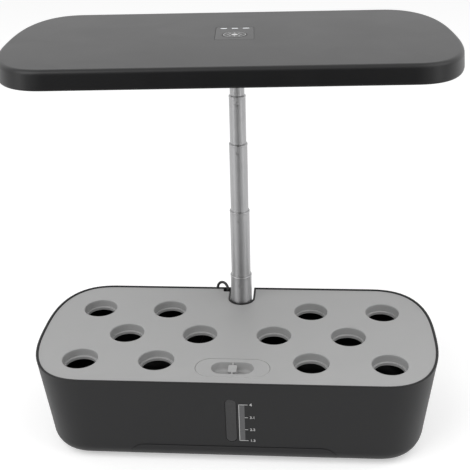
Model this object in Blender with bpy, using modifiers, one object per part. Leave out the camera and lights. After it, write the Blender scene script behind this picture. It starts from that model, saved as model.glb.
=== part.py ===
"""Countertop hydroponic garden: a drafted water tank with a lift-out planting
deck, a pump on a lead, and a lamp hood carried by a five-stage telescopic pole.

Metres, +Z up. The origin is the centre of the tank's footprint on the surface
it stands on; the water window and the scale face -Y, the pole stands at +Y."""

import math

import bmesh
import bpy
from mathutils import Matrix, Vector

# Driving sizes of the tank
TANK_W = 0.4000
TANK_D = 0.1844
TANK_H = 0.0994
TANK_CORNER = 0.0622
TANK_POWER = 2.63
DRAFT = 0.00856
BOTTOM_R = 0.0168
WALL = 0.00215
FLOOR_T = 0.0026
GAP = 0.0003
OVER = 0.0040

# Rubber feet
FOOT_R = 0.0075
FOOT_PROUD = 0.0008
FOOT_SUNK = 0.0010
FOOT_SHARE_X = 0.325
FOOT_SHARE_Y = 0.22777

# Raised arch at the foot of the front wall
ARCH_PROUD = 0.0005
ARCH_TOP = 0.0205
ARCH_LOW = 0.0032
ARCH_FLAT = 0.0860
ARCH_SHOULDER = 0.0160

# Channel for the pole in the tank's back wall
POLE_BACK = 0.0232
POLE_Y = TANK_D / 2 - POLE_BACK
CHANNEL_R = 0.0124
CHANNEL_WALL = 0.0017
CHANNEL_FLOOR = 0.0053

# Ribs that carry the deck
RIB_T = 0.0020
RIB_H = 0.0120
RIB_REACH = 0.0042
RIB_NEAR_SHARE = 0.125
RIB_FAR_SHARE = 0.28

# Water window
WINDOW_X = -0.0006
WINDOW_Z = 0.0562
WINDOW_W = 0.0104
WINDOW_H = 0.0452
WINDOW_FLANGE = 0.0030
WINDOW_FLANGE_T = 0.0015
GASKET_T = 0.0010
GASKET_W = 0.0022

# Planting deck
DECK_DROP = 0.0010
DECK_T = 0.0022
DECK_EDGE = 0.0005
SKIRT_H = 0.0080
SKIRT_T = 0.0020
HOLE_R = 0.01725
HOLE_EDGE = 0.0008
SEAT_DEPTH = 0.0085
LOW_R = 0.01525
SLEEVE_WALL = 0.0018
SLEEVE_DEPTH = 0.0240
HOLE_PITCH_SHARE = 0.1875
ROW_PITCH_SHARE = 0.262473
ROW_MID_Y = -0.0045
NOTCH_W = 0.0070
NOTCH_D = 0.0061

# Fill lid
LID_W = 0.0714
LID_D = 0.0303
LID_FRONT = 0.0279
LID_Y = LID_FRONT - TANK_D / 2
LID_T = 0.0024
LID_EDGE = 0.0004
LID_LEDGE = 0.0028
PORT_T = 0.0022
POCKET_W = 0.0407
POCKET_D = 0.0197
POCKET_DEPTH = 0.0092
POCKET_TAPER = 0.0012
POCKET_WALL = 0.0016
GRIP_W = 0.0082
GRIP_D = 0.0116
GRIP_DROP = 0.0005
GRIP_R = 0.0012
WEB_T = 0.0015
WEB_DROP = 0.0007

# Telescopic pole
TUBE_R = 0.0112
TUBE_WALL = 0.0007
TUBE_SLIP = 0.0003
LIP_SLIP = 0.0001
LIP_H = 0.0015
TUBE_TOP_SHARES = (0.3235, 0.5105, 0.6935, 0.81725)
TUBE_LEN_SHARES = (0.2175, 0.21025, 0.205, 0.2225)
DIMPLE_R = 0.0020
DIMPLE_DEEP = 0.00035
DIMPLE_1_DROP = 0.0100
DIMPLE_2_DROP = 0.0087
DIMPLE_3_DROP = 0.0077
DIMPLE_4_DROP = 0.0075
STOP_R = 0.0016
STOP_IN = 0.00022
BUSH_SLIP = 0.00008
BUSH_FLANGE = 0.0022
BUSH_SPIGOT = 0.0030
BUSH_WALL = 0.0014

# Foot block of the pole and its sockets
BLOCK_H = 0.0147
BLOCK_BACK = 0.0100
SPIGOT_H = 0.0100
WIRE_R = 0.0040
WIRE_DEEP = 0.0125
JACK_X = 0.0060
JACK_R = 0.0038
JACK_Z = 0.0070
JACK_LEN = 0.0095
JACK_BORE = 0.0028
JACK_PIN = 0.0010
JACK_BASE = 0.0015
PIN_BACK = 0.0012
PLUG_R = 0.0045
PLUG_LEN = 0.0120
PLUG_NECK_R = 0.0024
PLUG_NECK_LEN = 0.0050
BARREL_LEN = 0.0072
SCREW_X = 0.0050
SCREW_Y = -0.0075
SCREW_R = 0.0015
SCREW_HEAD_R = 0.0028
SCREW_HEAD_H = 0.0018
SCREW_LEN = 0.0120

# Pump on the tank floor
PUMP_X = -0.0500
PUMP_BACK = 0.0462
PUMP_Y = TANK_D / 2 - PUMP_BACK
PUMP_W = 0.0320
PUMP_D = 0.0300
PUMP_H = 0.0270
PUMP_EDGE = 0.0025
CUP_H = 0.0040
CUP_R = 0.0050
CUP_STEM = 0.0020
CUP_WALL = 0.0010
CUP_IN = 0.0060
VOLUTE_R = 0.0108
VOLUTE_D = 0.0062
ROTOR_BORE = 0.0072
ROTOR_D = 0.0160
SHAFT_R = 0.0010
SHAFT_FIT = 0.00005
SHAFT_SEAT = 0.0030
OUTLET_R = 0.0024
NOZZLE_R = 0.0035
NOZZLE_H = 0.0080
GLAND_R = 0.0030
GLAND_L = 0.0040
GLAND_Z = 0.0060
COVER_T = 0.0020
SLOT_W = 0.0016
SLOT_H = 0.0130
SLOT_PITCH = 0.0034
SLOT_SIDE = 0.0068
VANE_T = 0.0012
VANE_H = 0.0036
DISC_T = 0.0010
ROTOR_PLAY = 0.0004

# Lead of the pump
CORD_R = 0.0015
CORD_STEP = 0.0075
CORD_ROUTE = (
    (-0.0500, -0.02690, 0.0275),
    (-0.0500, -0.02100, 0.0281),
    (-0.0475, -0.01620, 0.0345),
    (-0.0410, -0.01370, 0.0480),
    (-0.0300, -0.01170, 0.0650),
    (-0.0205, -0.00870, 0.0820),
    (-0.0168, -0.00640, 0.0915),
    (-0.0163, -0.00490, 0.0980),
    (-0.0180, -0.00220, 0.1030),
    (-0.0222, 0.00060, 0.1050),
    (-0.0264, 0.00260, 0.1026),
    (-0.0286, 0.00360, 0.0970),
    (-0.0288, 0.00360, 0.0850),
    (-0.0265, 0.00340, 0.0620),
    (-0.0215, 0.00480, 0.0400),
    (-0.0145, 0.00930, 0.0235),
    (-0.0085, 0.01400, 0.0150),
    (-0.0060, 0.01180, 0.0126),
    (-0.0060, 0.00440, 0.0126),
)

# Lamp hood
HOOD_W = 0.3925
HOOD_D = 0.2147
HOOD_T = 0.0160
HOOD_TOP = 0.4000
HOOD_CORNER = 0.0539
HOOD_POWER = 2.51
HOOD_EDGE = 0.0040
HOOD_DRAFT = 0.0010
HOOD_LIP = 0.0010
HOOD_WALL = 0.0022
HOOD_SIDE = 0.0033
HOOD_TURN = math.radians(3.5)
TRAY_T = 0.0020
TRAY_UP = 0.0012
LAMP_SIDE = 0.02625
LAMP_REST = 0.0787
LAMP_CORNER = 0.0300
LAMP_Y = -0.0240
BOARD_T = 0.0016
BOARD_LAP = 0.0030
CHIP_W = 0.0035
CHIP_D = 0.0028
CHIP_H = 0.0007
CHIP_SHARE_X = 0.108824
CHIP_SHARE_Y = 0.227941
CHIP_COLS = 9
CHIP_ROWS = 4
BOSS_R = 0.0035
BOSS_IN_X = 0.01025
BOSS_IN_Y = 0.00725
BOSS_SHARE_X = 0.292994
HOOD_SCREW_R = 0.0012
HOOD_SCREW_HEAD_R = 0.0024
HOOD_SCREW_HEAD_H = 0.0010
HOOD_SCREW_LEN = 0.0060

# Socket that joins the hood to the pole
COLLAR_R = 0.0125
COLLAR_DROP = 0.0040
SOCKET_FLANGE_R = 0.0175
SOCKET_FLANGE_T = 0.0024
SOCKET_SLIP = 0.00012
SOCKET_SEAT = 0.0030
SOCKET_WIRE_R = 0.0035
SOCKET_DRIP = 0.0010

# Control panel on the hood
PANEL_W = 0.0340
PANEL_D = 0.0490
PANEL_R = 0.0030
PANEL_T = 0.0009
PANEL_Y = 0.0113
BUTTON_R = 0.0108
BUTTON_T = 0.0006
BUTTON_BACK = 0.0060
BUTTON_RISE = 0.0001
BUTTON_TRAVEL = 0.0004
STEM_R = 0.0022
STEM_DOWN = 0.0062
LENS_W = 0.0060
LENS_D = 0.0020
LENS_PITCH = 0.0100
LENS_Y = 0.0195
LENS_H = 0.0030
SWITCH_W = 0.0062
SWITCH_H = 0.0022
DRIVER_W = 0.0400
DRIVER_D = 0.0620
DRIVER_T = 0.0016
DRIVER_DROP = 0.0062
POST_R = 0.0020
POST_INSET = 0.0040

# Facets
CORNER_STEPS = 7
EDGE_STEPS = 3
ROUND = 20
HOLE_ROUND = 16
SMALL = 12
TINY = 8
FILLET_STEPS = 3
END_STEPS = 5


for old in list(bpy.data.objects):
    bpy.data.objects.remove(old)

garden = bpy.data.collections.new("hydroponic_garden")
bpy.context.scene.collection.children.link(garden)
cutters = bpy.data.collections.new("cutters")
bpy.context.scene.collection.children.link(cutters)


def material(name, colour, rough, metal=0.0):
    mat = bpy.data.materials.new(name)
    mat.use_nodes = True
    shader = mat.node_tree.nodes["Principled BSDF"]
    shader.inputs["Base Color"].default_value = (*colour, 1.0)
    shader.inputs["Roughness"].default_value = rough
    shader.inputs["Metallic"].default_value = metal
    return mat


def place(name, mesh, mat=None):
    obj = bpy.data.objects.new(name, mesh)
    garden.objects.link(obj)
    if mat:
        mesh.materials.append(mat)
    return obj


def as_cutter(obj):
    garden.objects.unlink(obj)
    cutters.objects.link(obj)
    obj.hide_render = True
    obj.display_type = "WIRE"
    return obj


def combine(obj, tool, operation):
    mod = obj.modifiers.new(operation.lower(), "BOOLEAN")
    mod.operation = operation
    mod.object = as_cutter(tool)
    return obj


def cut(obj, *tools):
    for tool in tools:
        combine(obj, tool, "DIFFERENCE")
    return obj


def join(obj, *tools):
    for tool in tools:
        combine(obj, tool, "UNION")
    return obj


def under(parent, *objects):
    for obj in objects:
        obj.parent = parent


def frame(name, where, turn=0.0):
    empty = bpy.data.objects.new(name, None)
    empty.location = where
    empty.rotation_euler = (0.0, 0.0, turn)
    garden.objects.link(empty)
    return empty


def from_bmesh(name, bm, mat=None):
    bmesh.ops.recalc_face_normals(bm, faces=bm.faces)
    mesh = bpy.data.meshes.new(name)
    bm.to_mesh(mesh)
    bm.free()
    return place(name, mesh, mat)


def outline(width, depth, corner_x, corner_y, power, steps=CORNER_STEPS):
    """A rectangle whose corners are quarters of a superellipse."""
    points = []
    for quarter in range(4):
        for step in range(steps + 1):
            angle = math.pi / 2 * step / steps
            along = max(math.cos(angle), 0.0) ** (2 / power)
            across = max(math.sin(angle), 0.0) ** (2 / power)
            if quarter % 2:
                along, across = across, along
            side_x = 1 if quarter in (0, 3) else -1
            side_y = 1 if quarter in (0, 1) else -1
            x = side_x * (width / 2 - corner_x + corner_x * along)
            y = side_y * (depth / 2 - corner_y + corner_y * across)
            if not points or (Vector((x, y)) - points[-1]).length > corner_x * 1e-4:
                points.append(Vector((x, y)))
    if (points[0] - points[-1]).length < corner_x * 1e-4:
        points.pop()
    return points


def oblong(width, height):
    """A slot shape with fully rounded ends, long side along its longer size."""
    radius = min(width, height) / 2
    wide = width / 2 - radius
    tall = height / 2 - radius
    points = []
    for quarter in range(4):
        side_x = 1 if quarter in (0, 3) else -1
        side_y = 1 if quarter in (0, 1) else -1
        for step in range(END_STEPS + 1):
            angle = math.pi / 2 * (quarter + step / END_STEPS)
            x = side_x * wide + radius * math.cos(angle)
            y = side_y * tall + radius * math.sin(angle)
            if not points or (Vector((x, y)) - points[-1]).length > radius * 1e-3:
                points.append(Vector((x, y)))
    if (points[0] - points[-1]).length < radius * 1e-3:
        points.pop()
    return points


def channel(radius, rear):
    """The plan of a channel round the pole that runs out to the rear."""
    points = [Vector((radius, rear))]
    for step in range(ROUND // 2 + 1):
        angle = -math.pi * step / (ROUND // 2)
        points.append(Vector((radius * math.cos(angle), POLE_Y + radius * math.sin(angle))))
    points.append(Vector((-radius, rear)))
    return points


def ring(points, z, x=0.0, y=0.0):
    return [Vector((p.x + x, p.y + y, z)) for p in points]


def loft(name, rings, mat=None, closed=False):
    """A skin through sections with alike counts of points, capped or closed."""
    bm = bmesh.new()
    loops = [[bm.verts.new(p) for p in section] for section in rings]
    pairs = list(zip(loops, loops[1:]))
    if closed:
        pairs.append((loops[-1], loops[0]))
    else:
        bm.faces.new(loops[0])
        bm.faces.new(loops[-1])
    for low, high in pairs:
        for i in range(len(low)):
            j = (i + 1) % len(low)
            bm.faces.new((low[i], low[j], high[j], high[i]))
    return from_bmesh(name, bm, mat)


def prism(name, points, low, high, mat=None):
    return loft(name, [ring(points, low), ring(points, high)], mat)


def box(name, size, centre, mat=None):
    bm = bmesh.new()
    bmesh.ops.create_cube(bm, size=1.0, matrix=Matrix.LocRotScale(centre, None, size))
    return from_bmesh(name, bm, mat)


def rod(name, radius, length, centre, steps=ROUND, axis="Z", mat=None):
    turn = {
        "X": Matrix.Rotation(math.pi / 2, 4, "Y"),
        "Y": Matrix.Rotation(math.pi / 2, 4, "X"),
        "Z": Matrix.Identity(4),
    }[axis]
    bm = bmesh.new()
    bmesh.ops.create_cone(
        bm,
        cap_ends=True,
        segments=steps,
        radius1=radius,
        radius2=radius,
        depth=length,
        matrix=Matrix.Translation(centre) @ turn,
    )
    return from_bmesh(name, bm, mat)


def turned(name, profile, steps=ROUND, mat=None, closed=False):
    """A profile of (radius, height) turned about Z, outer side top to bottom."""
    mesh = bpy.data.meshes.new(name)
    last = len(profile)
    edges = [(i, i + 1) for i in range(last - 1)]
    if closed:
        edges.append((last - 1, 0))
    mesh.from_pydata([(r, 0.0, z) for r, z in profile], edges, [])
    obj = place(name, mesh, mat)
    screw = obj.modifiers.new("turn", "SCREW")
    screw.steps = steps
    screw.render_steps = steps
    screw.use_merge_vertices = True
    screw.merge_threshold = 0.00001
    weld = obj.modifiers.new("weld", "WELD")
    weld.merge_threshold = 0.00001
    return obj


def twins(name, source, places, mat):
    """One object for each copy of a piece, sharing its mesh."""
    mesh = evaluated(source)
    mesh.materials.append(mat)
    bpy.data.objects.remove(source)
    made = []
    for number, where in enumerate(places):
        obj = place(f"{name}_{number + 1}", mesh)
        obj.location = where
        made.append(obj)
    return made


def evaluated(obj):
    graph = bpy.context.evaluated_depsgraph_get()
    return bpy.data.meshes.new_from_object(obj.evaluated_get(graph))


def repeat(name, source, places, mat=None):
    """Copies of one piece, placed and held in one mesh as separate solids."""
    mesh = evaluated(source)
    bpy.data.objects.remove(source)
    bm = bmesh.new()
    for where in places:
        copy = mesh.copy()
        copy.transform(where if isinstance(where, Matrix) else Matrix.Translation(where))
        bm.from_mesh(copy)
    return from_bmesh(name, bm, mat)


# Plastics, metals and rubber
black_shell = material("black_abs", (0.030, 0.030, 0.031), 0.42)
grey_deck = material("grey_abs", (0.40, 0.40, 0.40), 0.50)
smoked = material("smoked_polycarbonate", (0.055, 0.055, 0.057), 0.25)
black_rubber = material("black_rubber", (0.020, 0.020, 0.020), 0.80)
steel_tube = material("brushed_steel_tube", (0.62, 0.62, 0.63), 0.30, 1.0)
black_nylon = material("black_nylon", (0.025, 0.025, 0.026), 0.55)
black_pump = material("black_pump_abs", (0.028, 0.028, 0.030), 0.45)
screw_steel = material("zinc_screw_steel", (0.55, 0.55, 0.56), 0.35, 1.0)
contact_metal = material("nickel_contact", (0.66, 0.65, 0.62), 0.30, 1.0)
white_board = material("white_board", (0.80, 0.80, 0.80), 0.55)
green_board = material("green_board", (0.03, 0.20, 0.08), 0.50)
gloss_panel = material("gloss_panel", (0.035, 0.035, 0.036), 0.15)
clear_lens = material("clear_lens", (0.75, 0.76, 0.78), 0.20)
impeller_plastic = material("white_impeller", (0.70, 0.70, 0.68), 0.45)
shaft_steel = material("stainless_shaft", (0.60, 0.60, 0.61), 0.22, 1.0)
cord_pvc = material("black_pvc", (0.018, 0.018, 0.018), 0.50)


# Tank: outer skin drafted towards the floor, rounded bottom, inner skin one wall in
def lean(z):
    return DRAFT * (TANK_H - z) / (TANK_H - FOOT_PROUD - BOTTOM_R)


def tank_plan(inset):
    return outline(
        TANK_W - 2 * inset,
        TANK_D - 2 * inset,
        TANK_CORNER - inset,
        TANK_D / 2 - inset,
        TANK_POWER,
    )


def tank_skin(offset, bottom, top):
    radius = BOTTOM_R - offset
    sections = []
    for step in range(FILLET_STEPS + 1):
        angle = math.pi / 2 * step / FILLET_STEPS
        inset = offset + DRAFT + radius * (1 - math.sin(angle))
        sections.append(ring(tank_plan(inset), bottom + radius * (1 - math.cos(angle))))
    sections.append(ring(tank_plan(offset + lean(top)), top))
    return sections


tank_floor = FOOT_PROUD + FLOOR_T
tank = loft("tank_shell", tank_skin(0.0, FOOT_PROUD, TANK_H), black_shell)

arch_points = [Vector((ARCH_FLAT + ARCH_SHOULDER, ARCH_LOW))]
for step in range(FILLET_STEPS + 1):
    angle = math.pi / 2 * step / FILLET_STEPS
    arch_points.append(
        Vector(
            (
                ARCH_FLAT + ARCH_SHOULDER * math.cos(angle),
                ARCH_TOP - (ARCH_TOP - ARCH_LOW) * (1 - math.sin(angle)) * 0.9,
            )
        )
    )
arch_points += [Vector((-p.x, p.y)) for p in reversed(arch_points)]
arch = loft("arch", tank_skin(-ARCH_PROUD, FOOT_PROUD, TANK_H))
arch_window = loft(
    "arch_window",
    [
        [Vector((p.x, -TANK_D / 2 - OVER, p.y)) for p in arch_points],
        [Vector((p.x, -TANK_D / 4, p.y)) for p in arch_points],
    ],
)
combine(arch, arch_window, "INTERSECT")
join(tank, arch)

tower = prism("tower", channel(CHANNEL_R + CHANNEL_WALL, TANK_D / 2 + OVER), 0.0, TANK_H + 2 * OVER)
cavity = loft("cavity", tank_skin(WALL, tank_floor, TANK_H + OVER))
cut(cavity, tower)
well = prism("well", channel(CHANNEL_R, TANK_D / 2 + OVER), CHANNEL_FLOOR, TANK_H + OVER)
cut(tank, cavity, well)

skirt_low = TANK_H - DECK_DROP - SKIRT_H
rib_top = skirt_low - GAP
rib_mid = rib_top - RIB_H / 2
rib_in_wall = lean(rib_mid) + WALL / 2
for number, share in enumerate((-RIB_FAR_SHARE, -RIB_NEAR_SHARE, RIB_NEAR_SHARE, RIB_FAR_SHARE)):
    for side in (-1, 1):
        centre = (share * TANK_W, side * (TANK_D / 2 - rib_in_wall - RIB_REACH / 2), rib_mid)
        join(tank, box(f"rib_{number}_{side}", (RIB_T, RIB_REACH, RIB_H), centre))
for side in (-1, 1):
    centre = (side * (TANK_W / 2 - rib_in_wall - RIB_REACH / 2), 0.0, rib_mid)
    join(tank, box(f"rib_end_{side}", (RIB_REACH, RIB_T, RIB_H), centre))

foot_places = [
    Vector((x * FOOT_SHARE_X * TANK_W, y * FOOT_SHARE_Y * TANK_D, 0.0)) for x in (-1, 1) for y in (-1, 1)
]
foot_seat = rod(
    "foot_seat",
    FOOT_R + GAP,
    FOOT_SUNK + GAP + OVER,
    (0.0, 0.0, FOOT_PROUD + (FOOT_SUNK + GAP - OVER) / 2),
    SMALL,
)
cut(tank, repeat("foot_seats", foot_seat, foot_places))
foot = turned(
    "foot",
    [
        (0.0, FOOT_PROUD + FOOT_SUNK),
        (FOOT_R, FOOT_PROUD + FOOT_SUNK),
        (FOOT_R, FOOT_PROUD / 2),
        (FOOT_R - FOOT_PROUD / 2, 0.0),
        (0.0, 0.0),
    ],
    SMALL,
)
twins("foot_pad", foot, foot_places, black_rubber)

# Water window: a stepped smoked strip let into the leaning front wall from inside
wall_turn = math.atan2(DRAFT, TANK_H - FOOT_PROUD - BOTTOM_R)
wall_frame = Matrix(
    (
        (1.0, 0.0, 0.0, WINDOW_X),
        (0.0, -math.sin(wall_turn), -math.cos(wall_turn), -TANK_D / 2 + lean(WINDOW_Z)),
        (0.0, math.cos(wall_turn), -math.sin(wall_turn), WINDOW_Z),
        (0.0, 0.0, 0.0, 1.0),
    )
)
slot = prism("window_slot", oblong(WINDOW_W + 2 * GAP, WINDOW_H + 2 * GAP), -WALL - OVER, OVER)
slot.matrix_world = wall_frame
cut(tank, slot)
gasket_near = -WALL - GAP
gasket_far = gasket_near - GASKET_T
flange_near = gasket_far - GAP
strip = oblong(WINDOW_W, WINDOW_H)
flange = oblong(WINDOW_W + 2 * WINDOW_FLANGE, WINDOW_H + 2 * WINDOW_FLANGE)
window = loft(
    "water_window",
    [
        ring(strip, 0.0),
        ring(strip, flange_near),
        ring(flange, flange_near),
        ring(flange, flange_near - WINDOW_FLANGE_T),
    ],
    smoked,
)
window.matrix_world = wall_frame
gasket_in = oblong(WINDOW_W + 2 * GAP, WINDOW_H + 2 * GAP)
gasket_out = oblong(WINDOW_W + 2 * (GAP + GASKET_W), WINDOW_H + 2 * (GAP + GASKET_W))
gasket = loft(
    "window_gasket",
    [
        ring(gasket_out, gasket_near),
        ring(gasket_out, gasket_far),
        ring(gasket_in, gasket_far),
        ring(gasket_in, gasket_near),
    ],
    black_rubber,
    closed=True,
)
gasket.matrix_world = wall_frame

# Planting deck: a skirted plate with twelve stepped sleeves, a fill port and a pole slot
deck_top = TANK_H - DECK_DROP


def deck_plan(z, inward=0.0):
    return tank_plan(lean(z) + WALL + GAP + inward)


deck = loft(
    "planting_deck",
    [
        ring(deck_plan(deck_top, DECK_EDGE), deck_top),
        ring(deck_plan(deck_top - DECK_EDGE), deck_top - DECK_EDGE),
        ring(deck_plan(skirt_low), skirt_low),
    ],
    grey_deck,
)
hollow = loft(
    "deck_hollow",
    [
        ring(deck_plan(skirt_low - OVER, SKIRT_T), skirt_low - OVER),
        ring(deck_plan(deck_top - DECK_T, SKIRT_T), deck_top - DECK_T),
    ],
)
slot_r = CHANNEL_R + CHANNEL_WALL + GAP
slot_wall = prism("slot_wall", channel(slot_r + SKIRT_T, TANK_D / 2 + OVER), 0.0, TANK_H)
cut(hollow, slot_wall)
cut(deck, hollow)

hole_places = []
for row, shares in ((1, (-2, -1, 1, 2)), (0, (-1.5, -0.5, 0.5, 1.5)), (-1, (-2, -1, 1, 2))):
    for share in shares:
        across = share * HOLE_PITCH_SHARE * TANK_W
        along = ROW_MID_Y + row * ROW_PITCH_SHARE * TANK_D
        hole_places.append(Vector((across, along, deck_top)))
sleeve = turned(
    "sleeve",
    [
        (0.0, -DECK_T / 2),
        (HOLE_R + SLEEVE_WALL, -DECK_T / 2),
        (HOLE_R + SLEEVE_WALL, -SEAT_DEPTH - SLEEVE_WALL),
        (LOW_R + SLEEVE_WALL, -SEAT_DEPTH - SLEEVE_WALL),
        (LOW_R + SLEEVE_WALL, -SLEEVE_DEPTH),
        (0.0, -SLEEVE_DEPTH),
    ],
    HOLE_ROUND,
)
join(deck, repeat("sleeves", sleeve, hole_places))

boss_low = LID_T + GAP + PORT_T
port_boss = loft(
    "port_boss",
    [
        ring(oblong(LID_W + 2 * (GAP + POCKET_WALL), LID_D + 2 * (GAP + POCKET_WALL)), z, 0.0, LID_Y)
        for z in (deck_top - DECK_T / 2, deck_top - boss_low)
    ],
)
join(deck, port_boss)

bore = turned(
    "bore",
    [
        (0.0, HOLE_EDGE),
        (HOLE_R + 2 * HOLE_EDGE, HOLE_EDGE),
        (HOLE_R, -HOLE_EDGE),
        (HOLE_R, -SEAT_DEPTH),
        (LOW_R, -SEAT_DEPTH),
        (LOW_R, -SLEEVE_DEPTH - OVER),
        (0.0, -SLEEVE_DEPTH - OVER),
    ],
    HOLE_ROUND,
)
bores = repeat("bores", bore, hole_places)

port_w = LID_W + 2 * GAP - 2 * LID_LEDGE
port_d = LID_D + 2 * GAP - 2 * LID_LEDGE
lid_seat = oblong(LID_W + 2 * GAP, LID_D + 2 * GAP)
port = loft(
    "port",
    [
        ring(lid_seat, deck_top + OVER, 0.0, LID_Y),
        ring(lid_seat, deck_top - LID_T - GAP, 0.0, LID_Y),
        ring(oblong(port_w, port_d), deck_top - LID_T - GAP, 0.0, LID_Y),
        ring(oblong(port_w, port_d), deck_top - boss_low - OVER, 0.0, LID_Y),
    ],
)
pole_slot = prism("pole_slot", channel(slot_r, TANK_D / 2 + OVER), 0.0, TANK_H + OVER)
deck_back = TANK_D / 2 - WALL - GAP
notch = box(
    "cord_notch",
    (NOTCH_W + slot_r / 2, NOTCH_D + OVER, TANK_H),
    (-slot_r - NOTCH_W / 2 + slot_r / 4, deck_back - NOTCH_D / 2 + OVER / 2, TANK_H - TANK_H / 4),
)
cut(deck, port, pole_slot, notch, bores)

# Fill lid: an oblong plate with a finger pocket, its grip block stands on a web
lid_outer = oblong(LID_W, LID_D)
pocket_outer = oblong(POCKET_W + 2 * POCKET_WALL, POCKET_D + 2 * POCKET_WALL)
pocket_tip = oblong(
    POCKET_W + 2 * (POCKET_WALL - POCKET_TAPER),
    POCKET_D + 2 * (POCKET_WALL - POCKET_TAPER),
)
pocket_foot = oblong(POCKET_W - 2 * POCKET_TAPER, POCKET_D - 2 * POCKET_TAPER)
lid_low = deck_top - LID_T
lid = loft(
    "fill_lid",
    [
        ring(pocket_tip, deck_top - POCKET_DEPTH - POCKET_WALL, 0.0, LID_Y),
        ring(pocket_outer, lid_low, 0.0, LID_Y),
        ring(lid_outer, lid_low, 0.0, LID_Y),
        ring(lid_outer, deck_top - LID_EDGE, 0.0, LID_Y),
        ring(oblong(LID_W - 2 * LID_EDGE, LID_D - 2 * LID_EDGE), deck_top, 0.0, LID_Y),
        ring(oblong(POCKET_W, POCKET_D), deck_top, 0.0, LID_Y),
        ring(pocket_foot, deck_top - POCKET_DEPTH, 0.0, LID_Y),
    ],
    grey_deck,
)
web_top = deck_top - WEB_DROP
web_low = deck_top - POCKET_DEPTH - POCKET_WALL / 2
web = box(
    "web",
    (WEB_T, POCKET_D + POCKET_WALL, web_top - web_low),
    (0.0, LID_Y, (web_top + web_low) / 2),
)
grip_points = outline(GRIP_W, GRIP_D, GRIP_R, GRIP_R, 2.0, EDGE_STEPS)
grip_top = deck_top - GRIP_DROP
grip = loft(
    "grip",
    [
        ring(grip_points, z, 0.0, LID_Y)
        for z in (deck_top - POCKET_DEPTH - POCKET_WALL / 4, grip_top)
    ],
)
join(lid, web, grip)

# Pole: five nested tubes, each with a rolled lip, a pressed dimple and an end bush
tube_radii = [TUBE_R - number * (TUBE_WALL + TUBE_SLIP) for number in range(5)]
tube_tops = [share * HOOD_TOP for share in TUBE_TOP_SHARES]
tube_lengths = [share * HOOD_TOP for share in TUBE_LEN_SHARES]
dimple_drops = [DIMPLE_1_DROP, DIMPLE_2_DROP, DIMPLE_3_DROP, DIMPLE_4_DROP]
block_top = CHANNEL_FLOOR + GAP + BLOCK_H
tube_1_low = block_top + GAP
socket_low = HOOD_TOP - HOOD_T - COLLAR_DROP
socket_top = HOOD_TOP - HOOD_WALL - GAP
tube_5_top = socket_top - SOCKET_SEAT - GAP
tube_tops.append(tube_5_top)
tube_lows = [tube_1_low] + [top - length for top, length in zip(tube_tops[1:], tube_lengths)]
for number in range(5):
    outer = tube_radii[number]
    inner = outer - TUBE_WALL
    top = tube_tops[number]
    low = tube_lows[number]
    lip = inner - TUBE_SLIP + LIP_SLIP if number < 4 else inner
    profile = [
        (inner, low),
        (inner, top - LIP_H - TUBE_SLIP),
        (lip, top - LIP_H),
        (lip, top),
        (outer - TUBE_WALL / 4, top),
        (outer, top - TUBE_WALL / 4),
        (outer, low),
    ]
    if number == 4:
        profile = [(inner, low), (inner, top), (outer, top), (outer, low)]
    tube = turned(f"pole_tube_{number + 1}", profile, ROUND, steel_tube, closed=True)
    tube.location = (0.0, POLE_Y, 0.0)
    if number < 4:
        height = top - dimple_drops[number]
        ball_r = (DIMPLE_R**2 + DIMPLE_DEEP**2) / (2 * DIMPLE_DEEP)
        stop = rod(
            f"stop_{number + 1}",
            STOP_R,
            TUBE_WALL / 2 + STOP_IN,
            (0.0, -inner + STOP_IN / 2 - TUBE_WALL / 4, height),
            SMALL,
            "Y",
        )
        stop.location = (0.0, POLE_Y, 0.0)
        join(tube, stop)
        dimple = rod(
            f"dimple_{number + 1}",
            DIMPLE_R,
            2 * DIMPLE_DEEP,
            (0.0, -outer, height),
            SMALL,
            "Y",
        )
        dimple.location = (0.0, POLE_Y, 0.0)
        cut(tube, dimple)
    if number:
        bore_r = tube_radii[number - 1] - TUBE_WALL
        bush_low = low - GAP - BUSH_FLANGE
        bush = turned(
            f"pole_bush_{number + 1}",
            [
                (inner - GAP - BUSH_WALL, bush_low),
                (inner - GAP - BUSH_WALL, low + BUSH_SPIGOT),
                (inner - GAP, low + BUSH_SPIGOT),
                (inner - GAP, low - GAP),
                (bore_r - BUSH_SLIP, low - GAP),
                (bore_r - BUSH_SLIP, bush_low),
            ],
            ROUND,
            black_nylon,
            closed=True,
        )
        bush.location = (0.0, POLE_Y, 0.0)

# Foot block: fills the channel's foot, carries the first tube and both sockets
block_low = CHANNEL_FLOOR + GAP
block = prism(
    "pole_socket",
    channel(CHANNEL_R - GAP, POLE_Y + BLOCK_BACK),
    block_low,
    block_top,
    black_nylon,
)
spigot_r = TUBE_R - TUBE_WALL - GAP
spigot = rod(
    "spigot",
    spigot_r,
    SPIGOT_H + BLOCK_H / 4,
    (0.0, POLE_Y, block_top + (SPIGOT_H - BLOCK_H / 4) / 2),
)
join(block, spigot)
wire_way = rod(
    "wire_way",
    WIRE_R,
    WIRE_DEEP + OVER,
    (0.0, POLE_Y, block_top + SPIGOT_H - (WIRE_DEEP - OVER) / 2),
    SMALL,
)
cut(block, wire_way)
jack_y = POLE_Y + BLOCK_BACK
jack_z = block_low + JACK_Z
for side in (-1, 1):
    hole_len = JACK_LEN + GAP + OVER
    hole = rod(
        f"jack_hole_{side}",
        JACK_R + GAP,
        hole_len,
        (side * JACK_X, jack_y + OVER - hole_len / 2, jack_z),
        SMALL,
        "Y",
    )
    cut(block, hole)
screw_places = [Vector((x * SCREW_X, POLE_Y + SCREW_Y, 0.0)) for x in (-1, 1)]
head_low = FOOT_PROUD + GAP
head_top = head_low + SCREW_HEAD_H
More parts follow.
